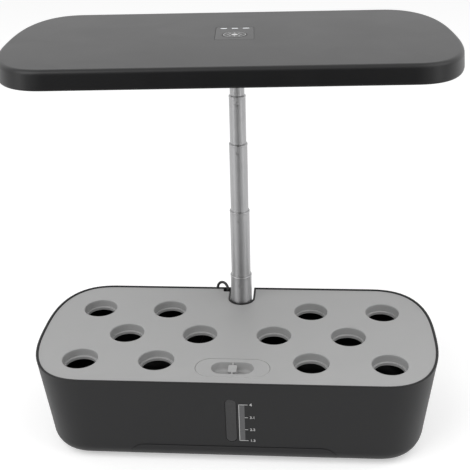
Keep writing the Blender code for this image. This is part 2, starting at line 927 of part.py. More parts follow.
screw_hole = turned(
    "screw_hole",
    [
        (0.0, head_low + SCREW_LEN + GAP),
        (SCREW_R + GAP, head_low + SCREW_LEN + GAP),
        (SCREW_R + GAP, head_top + GAP),
        (SCREW_HEAD_R + GAP, head_top + GAP),
        (SCREW_HEAD_R + GAP, -OVER),
        (0.0, -OVER),
    ],
    SMALL,
)
screw_cut = repeat("screw_cut", screw_hole, screw_places)
cut(tank, screw_cut)
block_cut = block.modifiers.new("difference", "BOOLEAN")
block_cut.operation = "DIFFERENCE"
block_cut.object = screw_cut
socket_screw = turned(
    "socket_screw",
    [
        (0.0, head_low + SCREW_LEN),
        (SCREW_R, head_low + SCREW_LEN),
        (SCREW_R, head_top),
        (SCREW_HEAD_R, head_top),
        (SCREW_HEAD_R, head_low),
        (0.0, head_low),
    ],
    SMALL,
)
twins("socket_screw", socket_screw, screw_places, screw_steel)

# Sockets: a sleeve with a centre pin, mouth to the rear; the lead's plug fills one
face_rear = Matrix.Rotation(-math.pi / 2, 4, "X")
for name, side in (("pump_jack", -1), ("dc_inlet", 1)):
    jack = turned(
        name,
        [
            (0.0, -PIN_BACK),
            (JACK_PIN, -PIN_BACK),
            (JACK_PIN, -JACK_LEN + JACK_BASE),
            (JACK_BORE, -JACK_LEN + JACK_BASE),
            (JACK_BORE, 0.0),
            (JACK_R, 0.0),
            (JACK_R, -JACK_LEN),
            (0.0, -JACK_LEN),
        ],
        SMALL,
        contact_metal,
    )
    jack.matrix_world = Matrix.Translation((side * JACK_X, jack_y, jack_z)) @ face_rear
plug = turned(
    "pump_plug",
    [
        (0.0, PLUG_LEN + PLUG_NECK_LEN + GAP),
        (PLUG_NECK_R, PLUG_LEN + PLUG_NECK_LEN + GAP),
        (PLUG_NECK_R + GAP, PLUG_LEN + GAP),
        (PLUG_R - GAP, PLUG_LEN + GAP),
        (PLUG_R, PLUG_LEN),
        (PLUG_R, GAP),
        (JACK_BORE - GAP, GAP),
        (JACK_BORE - GAP, -BARREL_LEN),
        (JACK_PIN + GAP, -BARREL_LEN),
        (JACK_PIN + GAP, 0.0),
        (0.0, 0.0),
    ],
    SMALL,
    cord_pvc,
)
plug.matrix_world = Matrix.Translation((-JACK_X, jack_y, jack_z)) @ face_rear

# Pump: a moulded box on suction cups, rotor bore and volute open to the front grille
pump_low = tank_floor + GAP + CUP_H + GAP
pump_mid = pump_low + PUMP_H / 2
pump_front = PUMP_Y - PUMP_D / 2
housing = box(
    "pump_housing",
    (PUMP_W, PUMP_D, PUMP_H),
    (PUMP_X, PUMP_Y, pump_mid),
    black_pump,
)
round_edges = housing.modifiers.new("bevel", "BEVEL")
round_edges.width = PUMP_EDGE
round_edges.segments = 2
outlet_y = pump_front + VOLUTE_D - OUTLET_R - GAP
nozzle = rod(
    "nozzle",
    NOZZLE_R,
    NOZZLE_H + PUMP_EDGE,
    (PUMP_X, outlet_y, pump_low + PUMP_H + (NOZZLE_H - PUMP_EDGE) / 2),
    SMALL,
)
gland_z = pump_mid + GLAND_Z
gland = rod(
    "gland",
    GLAND_R,
    GLAND_L + PUMP_EDGE,
    (PUMP_X, PUMP_Y + PUMP_D / 2 + (GLAND_L - PUMP_EDGE) / 2, gland_z),
    SMALL,
    "Y",
)
join(housing, nozzle, gland)
face_front = Matrix.Rotation(math.pi / 2, 4, "X")
rotor_frame = Matrix.Translation((PUMP_X, pump_front, pump_mid)) @ face_front
chamber = turned(
    "chamber",
    [
        (0.0, OVER),
        (VOLUTE_R, OVER),
        (VOLUTE_R, -VOLUTE_D),
        (ROTOR_BORE, -VOLUTE_D),
        (ROTOR_BORE, -VOLUTE_D - ROTOR_D),
        (SHAFT_R + GAP, -VOLUTE_D - ROTOR_D),
        (SHAFT_R + GAP, -VOLUTE_D - ROTOR_D - SHAFT_SEAT - GAP),
        (0.0, -VOLUTE_D - ROTOR_D - SHAFT_SEAT - GAP),
    ],
    HOLE_ROUND,
)
chamber.matrix_world = rotor_frame
outlet_len = PUMP_H / 2 + NOZZLE_H + OVER
outlet = rod(
    "outlet",
    OUTLET_R,
    outlet_len,
    (PUMP_X, outlet_y, pump_mid + outlet_len / 2),
    SMALL,
)
cut(housing, chamber, outlet)
cup = turned(
    "cup",
    [
        (0.0, CUP_H),
        (CUP_STEM, CUP_H),
        (CUP_STEM, CUP_H / 2),
        (CUP_R, 0.0),
        (CUP_R - CUP_WALL, 0.0),
        (0.0, CUP_H / 2 - CUP_WALL),
    ],
    TINY,
)
cup_places = [
    Vector((PUMP_X + x * (PUMP_W / 2 - CUP_IN), PUMP_Y + y * (PUMP_D / 2 - CUP_IN), tank_floor + GAP))
    for x in (-1, 1)
    for y in (-1, 1)
]
twins("pump_cup", cup, cup_places, black_rubber)

shaft_back = -VOLUTE_D - ROTOR_D - SHAFT_SEAT
shaft = turned(
    "pump_shaft",
    [
        (0.0, 0.0),
        (SHAFT_R, 0.0),
        (SHAFT_R, shaft_back),
        (0.0, shaft_back),
    ],
    SMALL,
    shaft_steel,
)
shaft.matrix_world = rotor_frame

rotor_back = -VOLUTE_D - ROTOR_D + ROTOR_PLAY
disc_back = -VOLUTE_D + ROTOR_PLAY
impeller = turned(
    "pump_impeller",
    [
        (SHAFT_R + SHAFT_FIT, rotor_back),
        (SHAFT_R + SHAFT_FIT, disc_back + DISC_T + VANE_H - ROTOR_PLAY),
        (SHAFT_R + VANE_T, disc_back + DISC_T + VANE_H - ROTOR_PLAY),
        (SHAFT_R + VANE_T, disc_back + DISC_T),
        (VOLUTE_R - 2 * ROTOR_PLAY, disc_back + DISC_T),
        (VOLUTE_R - 2 * ROTOR_PLAY, disc_back),
        (ROTOR_BORE - ROTOR_PLAY, disc_back),
        (ROTOR_BORE - ROTOR_PLAY, rotor_back),
    ],
    SMALL,
    impeller_plastic,
    closed=True,
)
impeller.matrix_world = rotor_frame
vane_out = VOLUTE_R - 3 * ROTOR_PLAY
vane_in = SHAFT_R + VANE_T / 2
vane = box(
    "vane",
    (vane_out - vane_in, VANE_T, VANE_H + DISC_T / 2),
    ((vane_out + vane_in) / 2, 0.0, disc_back + DISC_T / 2 + (VANE_H + DISC_T / 2) / 2),
)
vanes = repeat("vanes", vane, [Matrix.Rotation(math.tau * k / 6, 4, "Z") for k in range(6)])
vanes.matrix_world = rotor_frame
join(impeller, vanes)

cover = box(
    "pump_cover",
    (PUMP_W - PUMP_EDGE, COVER_T, PUMP_H - PUMP_EDGE),
    (PUMP_X, pump_front - GAP - COVER_T / 2, pump_mid),
    black_pump,
)
slots = box(
    "grille",
    (SLOT_W, COVER_T + 2 * OVER, SLOT_H),
    (PUMP_X, pump_front - GAP - COVER_T / 2, pump_mid),
)
slot_places = [
    Vector((side * (SLOT_SIDE - k * SLOT_PITCH), 0.0, 0.0)) for side in (-1, 1) for k in (0, 1)
]
cut(cover, repeat("grille_slots", slots, slot_places))

# Lead: from the pump's gland, up through the deck's notch, over the rim to the plug
def smooth_route(route):
    """Points at even steps along a centripetal curve through the route."""
    knots = [Vector(p) for p in route]
    ends = [2 * knots[0] - knots[1]] + knots + [2 * knots[-1] - knots[-2]]
    fine = []
    for k in range(1, len(ends) - 2):
        a, b, c, d = ends[k - 1 : k + 3]
        for step in range(24):
            t = step / 24
            low = (b - a).length ** 0.5
            mid = (c - b).length ** 0.5
            high = (d - c).length ** 0.5
            m1 = (c - b + mid * ((b - a) / low - (c - a) / (low + mid)))
            m2 = (c - b + mid * ((d - c) / high - (d - b) / (mid + high)))
            fine.append(
                (2 * t**3 - 3 * t**2 + 1) * b
                + (t**3 - 2 * t**2 + t) * m1
                + (-2 * t**3 + 3 * t**2) * c
                + (t**3 - t**2) * m2
            )
    fine.append(knots[-1])
    total = sum((q - p).length for p, q in zip(fine, fine[1:]))
    count = max(round(total / CORD_STEP), 2)
    spaced = [fine[0]]
    walked = 0.0
    for p, q in zip(fine, fine[1:]):
        piece = (q - p).length
        while len(spaced) < count and walked + piece >= total * len(spaced) / count:
            share = (total * len(spaced) / count - walked) / piece
            spaced.append(p.lerp(q, share))
        walked += piece
    spaced.append(fine[-1])
    print("lead length", round(total, 4))
    return spaced


curve = bpy.data.curves.new("pump_cord", "CURVE")
curve.dimensions = "3D"
curve.bevel_depth = CORD_R
curve.bevel_resolution = 2
curve.use_fill_caps = True
spline = curve.splines.new("POLY")
cord_points = smooth_route([(x, TANK_D / 2 + y, z) for x, y, z in CORD_ROUTE])
spline.points.add(len(cord_points) - 1)
for point, where in zip(spline.points, cord_points):
    point.co = (*where, 1.0)
curve.materials.append(cord_pvc)
cord = bpy.data.objects.new("pump_cord", curve)
garden.objects.link(cord)

# Hood: a thin moulded cover, turned a little on the pole; all below is in its frame
hood_pivot = frame("hood_pivot", (0.0, POLE_Y, 0.0), HOOD_TURN)
hood_reach = POLE_Y / math.cos(HOOD_TURN)
hood_x = -HOOD_SIDE
hood_low = HOOD_TOP - HOOD_T


def hood_plan(inset):
    return outline(
        HOOD_W - 2 * inset,
        HOOD_D - 2 * inset,
        HOOD_CORNER - inset,
        HOOD_D / 2 - inset,
        HOOD_POWER,
    )


def hood_ring(inset, z):
    return ring(hood_plan(inset), z, hood_x, -hood_reach)


hood_rings = []
for step in range(FILLET_STEPS + 1):
    angle = math.pi / 2 * step / FILLET_STEPS
    inset = HOOD_DRAFT + HOOD_EDGE * (1 - math.sin(angle))
    hood_rings.append(hood_ring(inset, HOOD_TOP - HOOD_EDGE * (1 - math.cos(angle))))
hood_rings += [
    hood_ring(0.0, hood_low + 2 * HOOD_LIP),
    hood_ring(HOOD_LIP / 3, hood_low + HOOD_LIP / 3),
    hood_ring(HOOD_LIP, hood_low),
    hood_ring(HOOD_WALL, hood_low),
    hood_ring(HOOD_WALL + HOOD_DRAFT, HOOD_TOP - HOOD_EDGE),
    hood_ring(HOOD_WALL + HOOD_EDGE, HOOD_TOP - HOOD_WALL),
]
hood = loft("hood_shell", hood_rings, black_shell)

tray_low = hood_low + TRAY_UP
tray_top = tray_low + TRAY_T
boss_low_z = tray_top + GAP
boss_mid = (boss_low_z + HOOD_TOP - HOOD_WALL / 2) / 2
boss_places = [Vector((x * (HOOD_W / 2 - BOSS_IN_X), 0.0, 0.0)) for x in (-1, 1)]
boss_places += [
    Vector((x * BOSS_SHARE_X * HOOD_W, y * (HOOD_D / 2 - BOSS_IN_Y), 0.0))
    for x in (-1, 1)
    for y in (-1, 1)
]
boss_places = [p + Vector((hood_x, -hood_reach, 0.0)) for p in boss_places]
hood_boss = rod(
    "hood_boss",
    BOSS_R,
    HOOD_TOP - HOOD_WALL / 2 - boss_low_z,
    (0.0, 0.0, boss_mid),
    TINY,
)
join(hood, repeat("hood_bosses", hood_boss, boss_places))
post_low = HOOD_TOP - HOOD_WALL - DRIVER_DROP + DRIVER_T + GAP
post = rod(
    "post",
    POST_R,
    HOOD_TOP - HOOD_WALL / 2 - post_low,
    (0.0, 0.0, (HOOD_TOP - HOOD_WALL / 2 + post_low) / 2),
    TINY,
)
panel_mid = Vector((0.0, PANEL_Y - POLE_Y, 0.0))
post_places = [
    panel_mid + Vector((x * (DRIVER_W / 2 - POST_INSET), y * (DRIVER_D / 2 - POST_INSET), 0.0))
    for x in (-1, 1)
    for y in (-1, 1)
]
join(hood, repeat("driver_posts", post, post_places))
seat_r = PANEL_R + GAP
panel_plan = outline(PANEL_W, PANEL_D, PANEL_R, PANEL_R, 2.0, EDGE_STEPS)
seat_plan = outline(PANEL_W + 2 * GAP, PANEL_D + 2 * GAP, seat_r, seat_r, 2.0, EDGE_STEPS)
panel_seat = HOOD_TOP - PANEL_T - GAP
seat = loft(
    "panel_seat",
    [ring(seat_plan, z, panel_mid.x, panel_mid.y) for z in (panel_seat, HOOD_TOP + OVER)],
)
button_y = panel_mid.y - BUTTON_BACK
stem_way = rod(
    "stem_way",
    STEM_R + GAP,
    HOOD_WALL + 2 * OVER,
    (0.0, button_y, HOOD_TOP - HOOD_WALL / 2),
    SMALL,
)
lens_y = panel_mid.y + LENS_Y
lens_places = [Vector((k * LENS_PITCH, lens_y, 0.0)) for k in (-1, 0, 1)]


def lens_piece(name, grow, low, high):
    plan = oblong(LENS_W + 2 * grow, LENS_D + 2 * grow)
    return repeat(name, prism(name + "_one", plan, low, high), lens_places)


cut(hood, seat, stem_way, lens_piece("lens_way", GAP, HOOD_TOP - HOOD_WALL - OVER, HOOD_TOP + OVER))
screw_up = turned(
    "screw_up",
    [
        (0.0, tray_low + HOOD_SCREW_LEN + GAP),
        (HOOD_SCREW_R + GAP, tray_low + HOOD_SCREW_LEN + GAP),
        (HOOD_SCREW_R + GAP, tray_low - OVER),
        (0.0, tray_low - OVER),
    ],
    TINY,
)
hood_cut = repeat("hood_screw_holes", screw_up, boss_places)
cut(hood, hood_cut)

# Tray: closes the underside round the lamp opening and the pole's socket
tray = loft(
    "hood_tray",
    [
        ring(hood_plan(HOOD_WALL + GAP), tray_low, hood_x, -hood_reach),
        ring(hood_plan(HOOD_WALL + GAP + HOOD_DRAFT * TRAY_T / HOOD_T), tray_top, hood_x, -hood_reach),
    ],
    black_shell,
)
lamp_w = HOOD_W - 2 * LAMP_SIDE
lamp_d = HOOD_D - LAMP_REST
lamp_plan = outline(lamp_w, lamp_d, LAMP_CORNER, LAMP_CORNER, 2.0, END_STEPS)
lamp_y = -hood_reach + LAMP_Y
lamp_way = loft(
    "lamp_way",
    [ring(lamp_plan, z, hood_x, lamp_y) for z in (tray_low - OVER, tray_top + OVER)],
)
collar_way = rod(
    "collar_way",
    COLLAR_R + GAP,
    TRAY_T + 2 * OVER,
    (0.0, 0.0, (tray_low + tray_top) / 2),
)
cut(tray, lamp_way, collar_way)
tray_cut = tray.modifiers.new("difference", "BOOLEAN")
tray_cut.operation = "DIFFERENCE"
tray_cut.object = hood_cut
hood_screw = turned(
    "hood_screw",
    [
        (0.0, tray_low + HOOD_SCREW_LEN),
        (HOOD_SCREW_R, tray_low + HOOD_SCREW_LEN),
        (HOOD_SCREW_R, tray_low - GAP),
        (HOOD_SCREW_HEAD_R, tray_low - GAP),
        (HOOD_SCREW_HEAD_R, tray_low - GAP - HOOD_SCREW_HEAD_H / 2),
        (HOOD_SCREW_HEAD_R / 2, tray_low - GAP - HOOD_SCREW_HEAD_H),
        (0.0, tray_low - GAP - HOOD_SCREW_HEAD_H),
    ],
    TINY,
)
hood_screws = twins("hood_screw", hood_screw, boss_places, screw_steel)

# Lamp board over the opening, its emitters pointing down through it
board_low = tray_top + GAP
board_plan = outline(
    lamp_w + 2 * BOARD_LAP,
    lamp_d + 2 * BOARD_LAP,
    LAMP_CORNER + BOARD_LAP,
    LAMP_CORNER + BOARD_LAP,
    2.0,
    END_STEPS,
)
board = loft(
    "led_board",
    [ring(board_plan, z, hood_x, lamp_y) for z in (board_low, board_low + BOARD_T)],
    white_board,
)
chip_places = []
for col in range(CHIP_COLS):
    for row in range(CHIP_ROWS):
        x = hood_x + (col - (CHIP_COLS - 1) / 2) * CHIP_SHARE_X * lamp_w
        y = lamp_y + (row - (CHIP_ROWS - 1) / 2) * CHIP_SHARE_Y * lamp_d
        chip_places.append(Vector((x, y, board_low)))
chip = box("chip", (CHIP_W, CHIP_D, 2 * CHIP_H), (0.0, 0.0, 0.0))
join(board, repeat("led_chips", chip, chip_places))

# Socket: the collar under the hood, its bore turns on the last tube
tube_5_r = tube_radii[4]
flange_low = tray_top + GAP
socket = turned(
    "hood_socket",
    [
        (tube_5_r + SOCKET_SLIP, socket_low),
        (tube_5_r + SOCKET_SLIP, socket_top - SOCKET_SEAT),
        (SOCKET_WIRE_R, socket_top - SOCKET_SEAT),
        (SOCKET_WIRE_R, socket_top),
        (COLLAR_R, socket_top),
        (COLLAR_R, flange_low + SOCKET_FLANGE_T),
        (SOCKET_FLANGE_R, flange_low + SOCKET_FLANGE_T),
        (SOCKET_FLANGE_R, flange_low),
        (COLLAR_R, flange_low),
        (COLLAR_R, socket_low + SOCKET_DRIP),
        (COLLAR_R - SOCKET_DRIP, socket_low),
    ],
    ROUND,
    black_nylon,
    closed=True,
)

# Control panel: a glossy plate with a round key and three indicator windows
panel = loft(
    "control_panel",
    [
        ring(panel_plan, z, panel_mid.x, panel_mid.y)
        for z in (HOOD_TOP - PANEL_T, HOOD_TOP)
    ],
    gloss_panel,
)
button_way = rod(
    "button_way",
    BUTTON_R + GAP,
    PANEL_T + 2 * OVER,
    (0.0, button_y, HOOD_TOP),
)
cut(panel, button_way, lens_piece("lens_hole", GAP, HOOD_TOP - OVER, HOOD_TOP + OVER))
lens = prism("lens", oblong(LENS_W, LENS_D), HOOD_TOP - LENS_H, HOOD_TOP)
lenses = twins("indicator_lens", lens, lens_places, clear_lens)

driver_low = HOOD_TOP - HOOD_WALL - DRIVER_DROP
driver = box(
    "driver_board",
    (DRIVER_W, DRIVER_D, DRIVER_T),
    (panel_mid.x, panel_mid.y, driver_low + DRIVER_T / 2),
    green_board,
)
switch_low = driver_low + DRIVER_T + GAP
switch = box(
    "tact_switch",
    (SWITCH_W, SWITCH_W, SWITCH_H),
    (0.0, button_y, switch_low + SWITCH_H / 2),
    black_nylon,
)
button_top = HOOD_TOP + BUTTON_RISE
key_low = button_top - BUTTON_T
stem_low = button_top - STEM_DOWN
switch_way = rod(
    "switch_way",
    STEM_R / 2 + GAP,
    SWITCH_H,
    (0.0, 0.0, 0.0),
    SMALL,
)
switch_way.location = (0.0, button_y, switch_low + SWITCH_H)
cut(switch, switch_way)
button_pivot = frame("button_axis", (0.0, button_y, 0.0))
step_z = switch_low + SWITCH_H + BUTTON_TRAVEL + GAP
stem_tip = switch_low + SWITCH_H / 2 + BUTTON_TRAVEL + GAP
button = turned(
    "mode_button",
    [
        (0.0, button_top),
        (BUTTON_R - BUTTON_RISE, button_top),
        (BUTTON_R, button_top - BUTTON_RISE),
        (BUTTON_R, key_low),
        (STEM_R, key_low),
        (STEM_R, step_z),
        (STEM_R / 2, step_z),
        (STEM_R / 2, stem_tip),
        (0.0, stem_tip),
    ],
    ROUND,
    gloss_panel,
)
under(button_pivot, button)
under(
    hood_pivot,
    hood,
    tray,
    *hood_screws,
    board,
    socket,
    panel,
    *lenses,
    driver,
    switch,
    button_pivot,
)
for tool in cutters.objects:
    if tool.name in (
        "hood_bosses",
        "driver_posts",
        "panel_seat",
        "stem_way",
        "lens_way",
        "hood_screw_holes",
        "led_chips",
        "lamp_way",
        "collar_way",
        "button_way",
        "lens_hole",
        "switch_way",
    ):
        tool.parent = hood_pivot

# Bake the modelling steps and shade the round pieces
bpy.context.view_layer.update()
nodes = [obj for obj in garden.objects if obj.type != "EMPTY"]
baked = {obj.name: evaluated(obj) for obj in nodes}
for obj in nodes:
    name = obj.name
    mesh = baked[name]
    if obj.type == "CURVE":
        bm = bmesh.new()
        bm.from_mesh(mesh)
        bmesh.ops.remove_doubles(bm, verts=bm.verts, dist=CORD_R / 100)
        bmesh.ops.recalc_face_normals(bm, faces=bm.faces)
        bm.to_mesh(mesh)
        bm.free()
        matrix = obj.matrix_world.copy()
        bpy.data.objects.remove(obj)
        obj = place(name, mesh)
        obj.matrix_world = matrix
    else:
        obj.modifiers.clear()
        obj.data = mesh
    mesh.name = name
    mesh.shade_smooth()
    mesh.set_sharp_from_angle(angle=math.radians(35))
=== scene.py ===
import math

import bmesh
import bpy
from mathutils import Matrix, Vector


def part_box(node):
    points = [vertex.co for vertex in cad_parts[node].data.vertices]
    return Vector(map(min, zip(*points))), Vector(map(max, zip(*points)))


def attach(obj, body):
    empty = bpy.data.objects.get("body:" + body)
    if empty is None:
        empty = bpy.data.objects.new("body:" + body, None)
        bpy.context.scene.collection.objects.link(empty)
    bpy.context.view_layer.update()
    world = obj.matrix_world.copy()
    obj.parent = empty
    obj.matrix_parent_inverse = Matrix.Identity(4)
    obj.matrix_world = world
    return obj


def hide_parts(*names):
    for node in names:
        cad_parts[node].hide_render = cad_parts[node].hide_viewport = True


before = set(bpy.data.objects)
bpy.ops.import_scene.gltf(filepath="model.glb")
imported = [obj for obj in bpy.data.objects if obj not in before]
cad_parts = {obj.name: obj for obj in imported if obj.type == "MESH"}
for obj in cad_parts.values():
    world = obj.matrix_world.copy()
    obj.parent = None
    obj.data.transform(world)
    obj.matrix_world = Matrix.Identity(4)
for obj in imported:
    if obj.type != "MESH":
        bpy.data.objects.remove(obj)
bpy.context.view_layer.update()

# Camera: a short tele lens, a little above the lamp hood and turned slightly to
# the left, with the small shift and roll of the photograph's framing.
yaw, pitch, roll = 0.0738, 0.4463, -0.0208
ahead = Vector((-math.sin(yaw) * math.cos(pitch), math.cos(yaw) * math.cos(pitch), -math.sin(pitch)))
right = Vector((math.cos(yaw), math.sin(yaw), 0.0))
above = right.cross(ahead)
level = math.cos(roll) * right + math.sin(roll) * above
plumb = -math.sin(roll) * right + math.cos(roll) * above
camera = bpy.data.objects.new("camera", bpy.data.cameras.new("camera"))
bpy.context.scene.collection.objects.link(camera)
camera.matrix_world = Matrix((
    (level.x, plumb.x, -ahead.x, 0.06411),
    (level.y, plumb.y, -ahead.y, -0.75562),
    (level.z, plumb.z, -ahead.z, 0.57065),
    (0.0, 0.0, 0.0, 1.0),
))
camera.data.sensor_width = 36.0
camera.data.lens = 66.70
camera.data.shift_x = -0.01753
camera.data.clip_end = 30.0
bpy.context.scene.camera = camera
bpy.context.scene.view_settings.view_transform = "Standard"


# Studio: a white sweep, a white room round it and two large soft lamps. Two dark
# cards, one behind the camera and one on the floor in front, are seen only in
# reflections: they are painted dark reflections that give the steel and the black
# plastic their darker side.
def linear(code):
    """The linear colour of an sRGB hex value."""
    parts = [int(code[k:k + 2], 16) / 255 for k in (1, 3, 5)]
    return [p / 12.92 if p <= 0.04045 else ((p + 0.055) / 1.055) ** 2.4 for p in parts] + [1.0]


def add(tree, kind, links=None, **settings):
    """Adds a node with its settings; a link's value is a constant or another node's socket."""
    made = tree.nodes.new(kind)
    for name, value in settings.items():
        setattr(made, name, value)
    for name, value in (links or {}).items():
        if isinstance(value, bpy.types.NodeSocket):
            tree.links.new(value, made.inputs[name])
        else:
            made.inputs[name].default_value = value
    return made


room = bpy.data.worlds.new("white_room")
bpy.context.scene.world = room
room.use_nodes = True
room.node_tree.nodes.clear()
seen = add(room.node_tree, "ShaderNodeLightPath")
straight = add(
    room.node_tree, "ShaderNodeMath", {0: seen.outputs["Is Camera Ray"], 1: seen.outputs["Is Glossy Ray"]},
    operation="MAXIMUM"
)
through = add(
    room.node_tree, "ShaderNodeMath", {0: straight.outputs[0], 1: seen.outputs["Is Transmission Ray"]},
    operation="MAXIMUM"
)
glow = add(room.node_tree, "ShaderNodeBackground", {"Color": linear("#ffffff"), "Strength": 0.62})
white = add(room.node_tree, "ShaderNodeBackground", {"Color": linear("#ffffff"), "Strength": 1.0})
either = add(
    room.node_tree, "ShaderNodeMixShader", {0: through.outputs[0], 1: glow.outputs[0], 2: white.outputs[0]}
)
add(room.node_tree, "ShaderNodeOutputWorld", {"Surface": either.outputs[0]})

bpy.ops.object.select_all(action="DESELECT")
bpy.ops.mesh.primitive_plane_add(size=12.0, location=(0.0, 0.0, 0.0))
sweep = bpy.context.object
sweep.name = "white_sweep"
paper = bpy.data.materials.new("matt_white_paper")
paper.use_nodes = True
paper.node_tree.nodes.clear()
seen = add(paper.node_tree, "ShaderNodeLightPath")
straight = add(
    paper.node_tree, "ShaderNodeMath", {0: seen.outputs["Is Camera Ray"], 1: seen.outputs["Is Glossy Ray"]},
    operation="MAXIMUM"
)
through = add(
    paper.node_tree, "ShaderNodeMath", {0: straight.outputs[0], 1: seen.outputs["Is Transmission Ray"]},
    operation="MAXIMUM"
)
lift = add(paper.node_tree, "ShaderNodeMath", {0: through.outputs[0], 1: 0.42}, operation="MULTIPLY")
matt = add(paper.node_tree, "ShaderNodeBsdfDiffuse", {"Color": linear("#e4e4e4")})
shine = add(paper.node_tree, "ShaderNodeEmission", {"Color": linear("#ffffff"), "Strength": lift.outputs[0]})
both = add(paper.node_tree, "ShaderNodeAddShader", {0: matt.outputs[0], 1: shine.outputs[0]})
add(paper.node_tree, "ShaderNodeOutputMaterial", {"Surface": both.outputs[0]})
sweep.data.materials.append(paper)

dark_reflection_finish = bpy.data.materials.new("painted_dark_reflection")
dark_reflection_finish.use_nodes = True
tree = dark_reflection_finish.node_tree
place = add(tree, "ShaderNodeTexCoord")
nap = add(tree, "ShaderNodeTexNoise", {"Vector": place.outputs["Object"], "Scale": 60.0, "Detail": 3.0})
tone = add(
    tree, "ShaderNodeMix", {"Factor": nap.outputs["Fac"], "A": linear("#161616"), "B": linear("#222222")},
    data_type="RGBA"
)
tree.links.new(tone.outputs["Result"], tree.nodes["Principled BSDF"].inputs["Base Color"])
# Seen only in glossy rays, these cards are painted dark reflections, not lit or shadowing felt.
for name, where, size, turned in (
    ("dark_card", (0.15, -2.2, 0.9), (1.5, 2.0), 90.0),
    ("dark_floor_card", (0.05, -1.45, 0.003), (2.4, 1.5), 0.0),
):
    bpy.ops.object.select_all(action="DESELECT")
    bpy.ops.mesh.primitive_plane_add(size=1.0, location=where, rotation=(math.radians(turned), 0.0, 0.0))
    card = bpy.context.object
    card.name = card.data.name = name
    card.scale = (size[0], size[1], 1.0)
    card.data.materials.append(dark_reflection_finish)
    card.visible_camera = False
    card.visible_shadow = False
    card.visible_diffuse = False

# Two glowing white cards, seen only in reflections: painted highlights on the black plastic and the steel, a
# little brighter across one way of each card.
highlight_card_finish = bpy.data.materials.new("painted_highlight_glow")
highlight_card_finish.use_nodes = True
highlight_card_finish.node_tree.nodes.clear()
place = add(highlight_card_finish.node_tree, "ShaderNodeTexCoord")
fade = add(
    highlight_card_finish.node_tree, "ShaderNodeTexGradient", {"Vector": place.outputs["Generated"]}, gradient_type="EASING"
)
tone = add(
    highlight_card_finish.node_tree, "ShaderNodeMix",
    {"Factor": fade.outputs["Fac"], "A": linear("#f4f4f4"), "B": linear("#ffffff")}, data_type="RGBA"
)
shine = add(highlight_card_finish.node_tree, "ShaderNodeEmission", {"Color": tone.outputs["Result"], "Strength": 2.6})
add(highlight_card_finish.node_tree, "ShaderNodeOutputMaterial", {"Surface": shine.outputs[0]})
for name, where, size in (
    ("left_white_card", (-1.45, -0.95, 0.35), (0.55, 1.1)),
    ("right_white_card", (1.55, -0.85, 0.35), (0.40, 1.1))
):
    bpy.ops.object.select_all(action="DESELECT")
    bpy.ops.mesh.primitive_plane_add(size=1.0, location=where)
    card = bpy.context.object
    card.name = card.data.name = name
    card.rotation_euler = (Vector((0.0, 0.0, 0.25)) - Vector(where)).to_track_quat("Z", "Y").to_euler()
    card.scale = (size[0], size[1], 1.0)
    card.data.materials.append(highlight_card_finish)
    card.visible_camera = False
    card.visible_shadow = False
    card.visible_diffuse = False

for name, where, size, power in (
    ("key_softbox", (-1.1, -0.9, 1.7), 1.5, 18.0),
    ("fill_softbox", (1.2, -0.3, 1.5), 1.4, 9.0),
):
    lamp = bpy.data.lights.new(name, "AREA")
    lamp.shape = "SQUARE"
    lamp.size = size
    lamp.energy = power
    holder = bpy.data.objects.new(name, lamp)
    bpy.context.scene.collection.objects.link(holder)
    holder.location = where
    holder.rotation_euler = (Vector((0.0, 0.0, 0.15)) - Vector(where)).to_track_quat("-Z", "Y").to_euler()


# Pump lead: a 3 mm round PVC lead from the pump's gland, up through the deck's
# notch, over the rim in a small loop and down to its plug at the pole's foot.
route = [
    (-0.0500, 0.0653, 0.0275), (-0.0500, 0.0712, 0.0281), (-0.0475, 0.0760, 0.0345),
    (-0.0410, 0.0785, 0.0480),
    (-0.0300, 0.0805, 0.0650), (-0.0205, 0.0835, 0.0820), (-0.0168, 0.0858, 0.0915),
    (-0.0163, 0.0873, 0.0980),
    (-0.0180, 0.0900, 0.1030), (-0.0222, 0.0928, 0.1050), (-0.0264, 0.0948, 0.1026),
    (-0.0286, 0.0958, 0.0970),
    (-0.0288, 0.0958, 0.0850), (-0.0265, 0.0956, 0.0620), (-0.0215, 0.0970, 0.0400),
    (-0.0145, 0.1015, 0.0235),
    (-0.0085, 0.1062, 0.0150), (-0.0060, 0.1040, 0.0126), (-0.0060, 0.0966, 0.0126),
]
lead_line = bpy.data.curves.new("pump_lead", "CURVE")
lead_line.dimensions = "3D"
lead_line.bevel_depth = 0.0015
lead_line.bevel_resolution = 6
lead_line.use_fill_caps = True
lead_line.resolution_u = 8
strand = lead_line.splines.new("BEZIER")
strand.bezier_points.add(len(route) - 1)
for point, where in zip(strand.bezier_points, route):
    point.co = where
    point.handle_left_type = point.handle_right_type = "AUTO"
lead = bpy.data.objects.new("pump_lead", lead_line)
bpy.context.scene.collection.objects.link(lead)

# Soft PVC, extruded: an even satin black with faint drawing marks across it.
lead_pvc = bpy.data.materials.new("extruded_black_pvc")
lead_pvc.use_nodes = True
tree = lead_pvc.node_tree
shader = tree.nodes["Principled BSDF"]
place = add(tree, "ShaderNodeTexCoord")
marks = add(tree, "ShaderNodeTexNoise", {"Vector": place.outputs["Object"], "Scale": 900.0, "Detail": 3.0})
tone = add(
    tree, "ShaderNodeMix", {"Factor": marks.outputs["Fac"], "A": linear("#0c0c0d"), "B": linear("#1a1a1b")},
    data_type="RGBA"
)
tree.links.new(tone.outputs["Result"], shader.inputs["Base Color"])
gloss = add(tree, "ShaderNodeMapRange", {"Value": marks.outputs["Fac"], "To Min": 0.34, "To Max": 0.48})
tree.links.new(gloss.outputs["Result"], shader.inputs["Roughness"])
dent = add(tree, "ShaderNodeBump", {"Height": marks.outputs["Fac"], "Strength": 0.4, "Distance": 0.00004})
tree.links.new(dent.outputs["Normal"], shader.inputs["Normal"])
shader.inputs["IOR"].default_value = 1.53
lead_line.materials.append(lead_pvc)
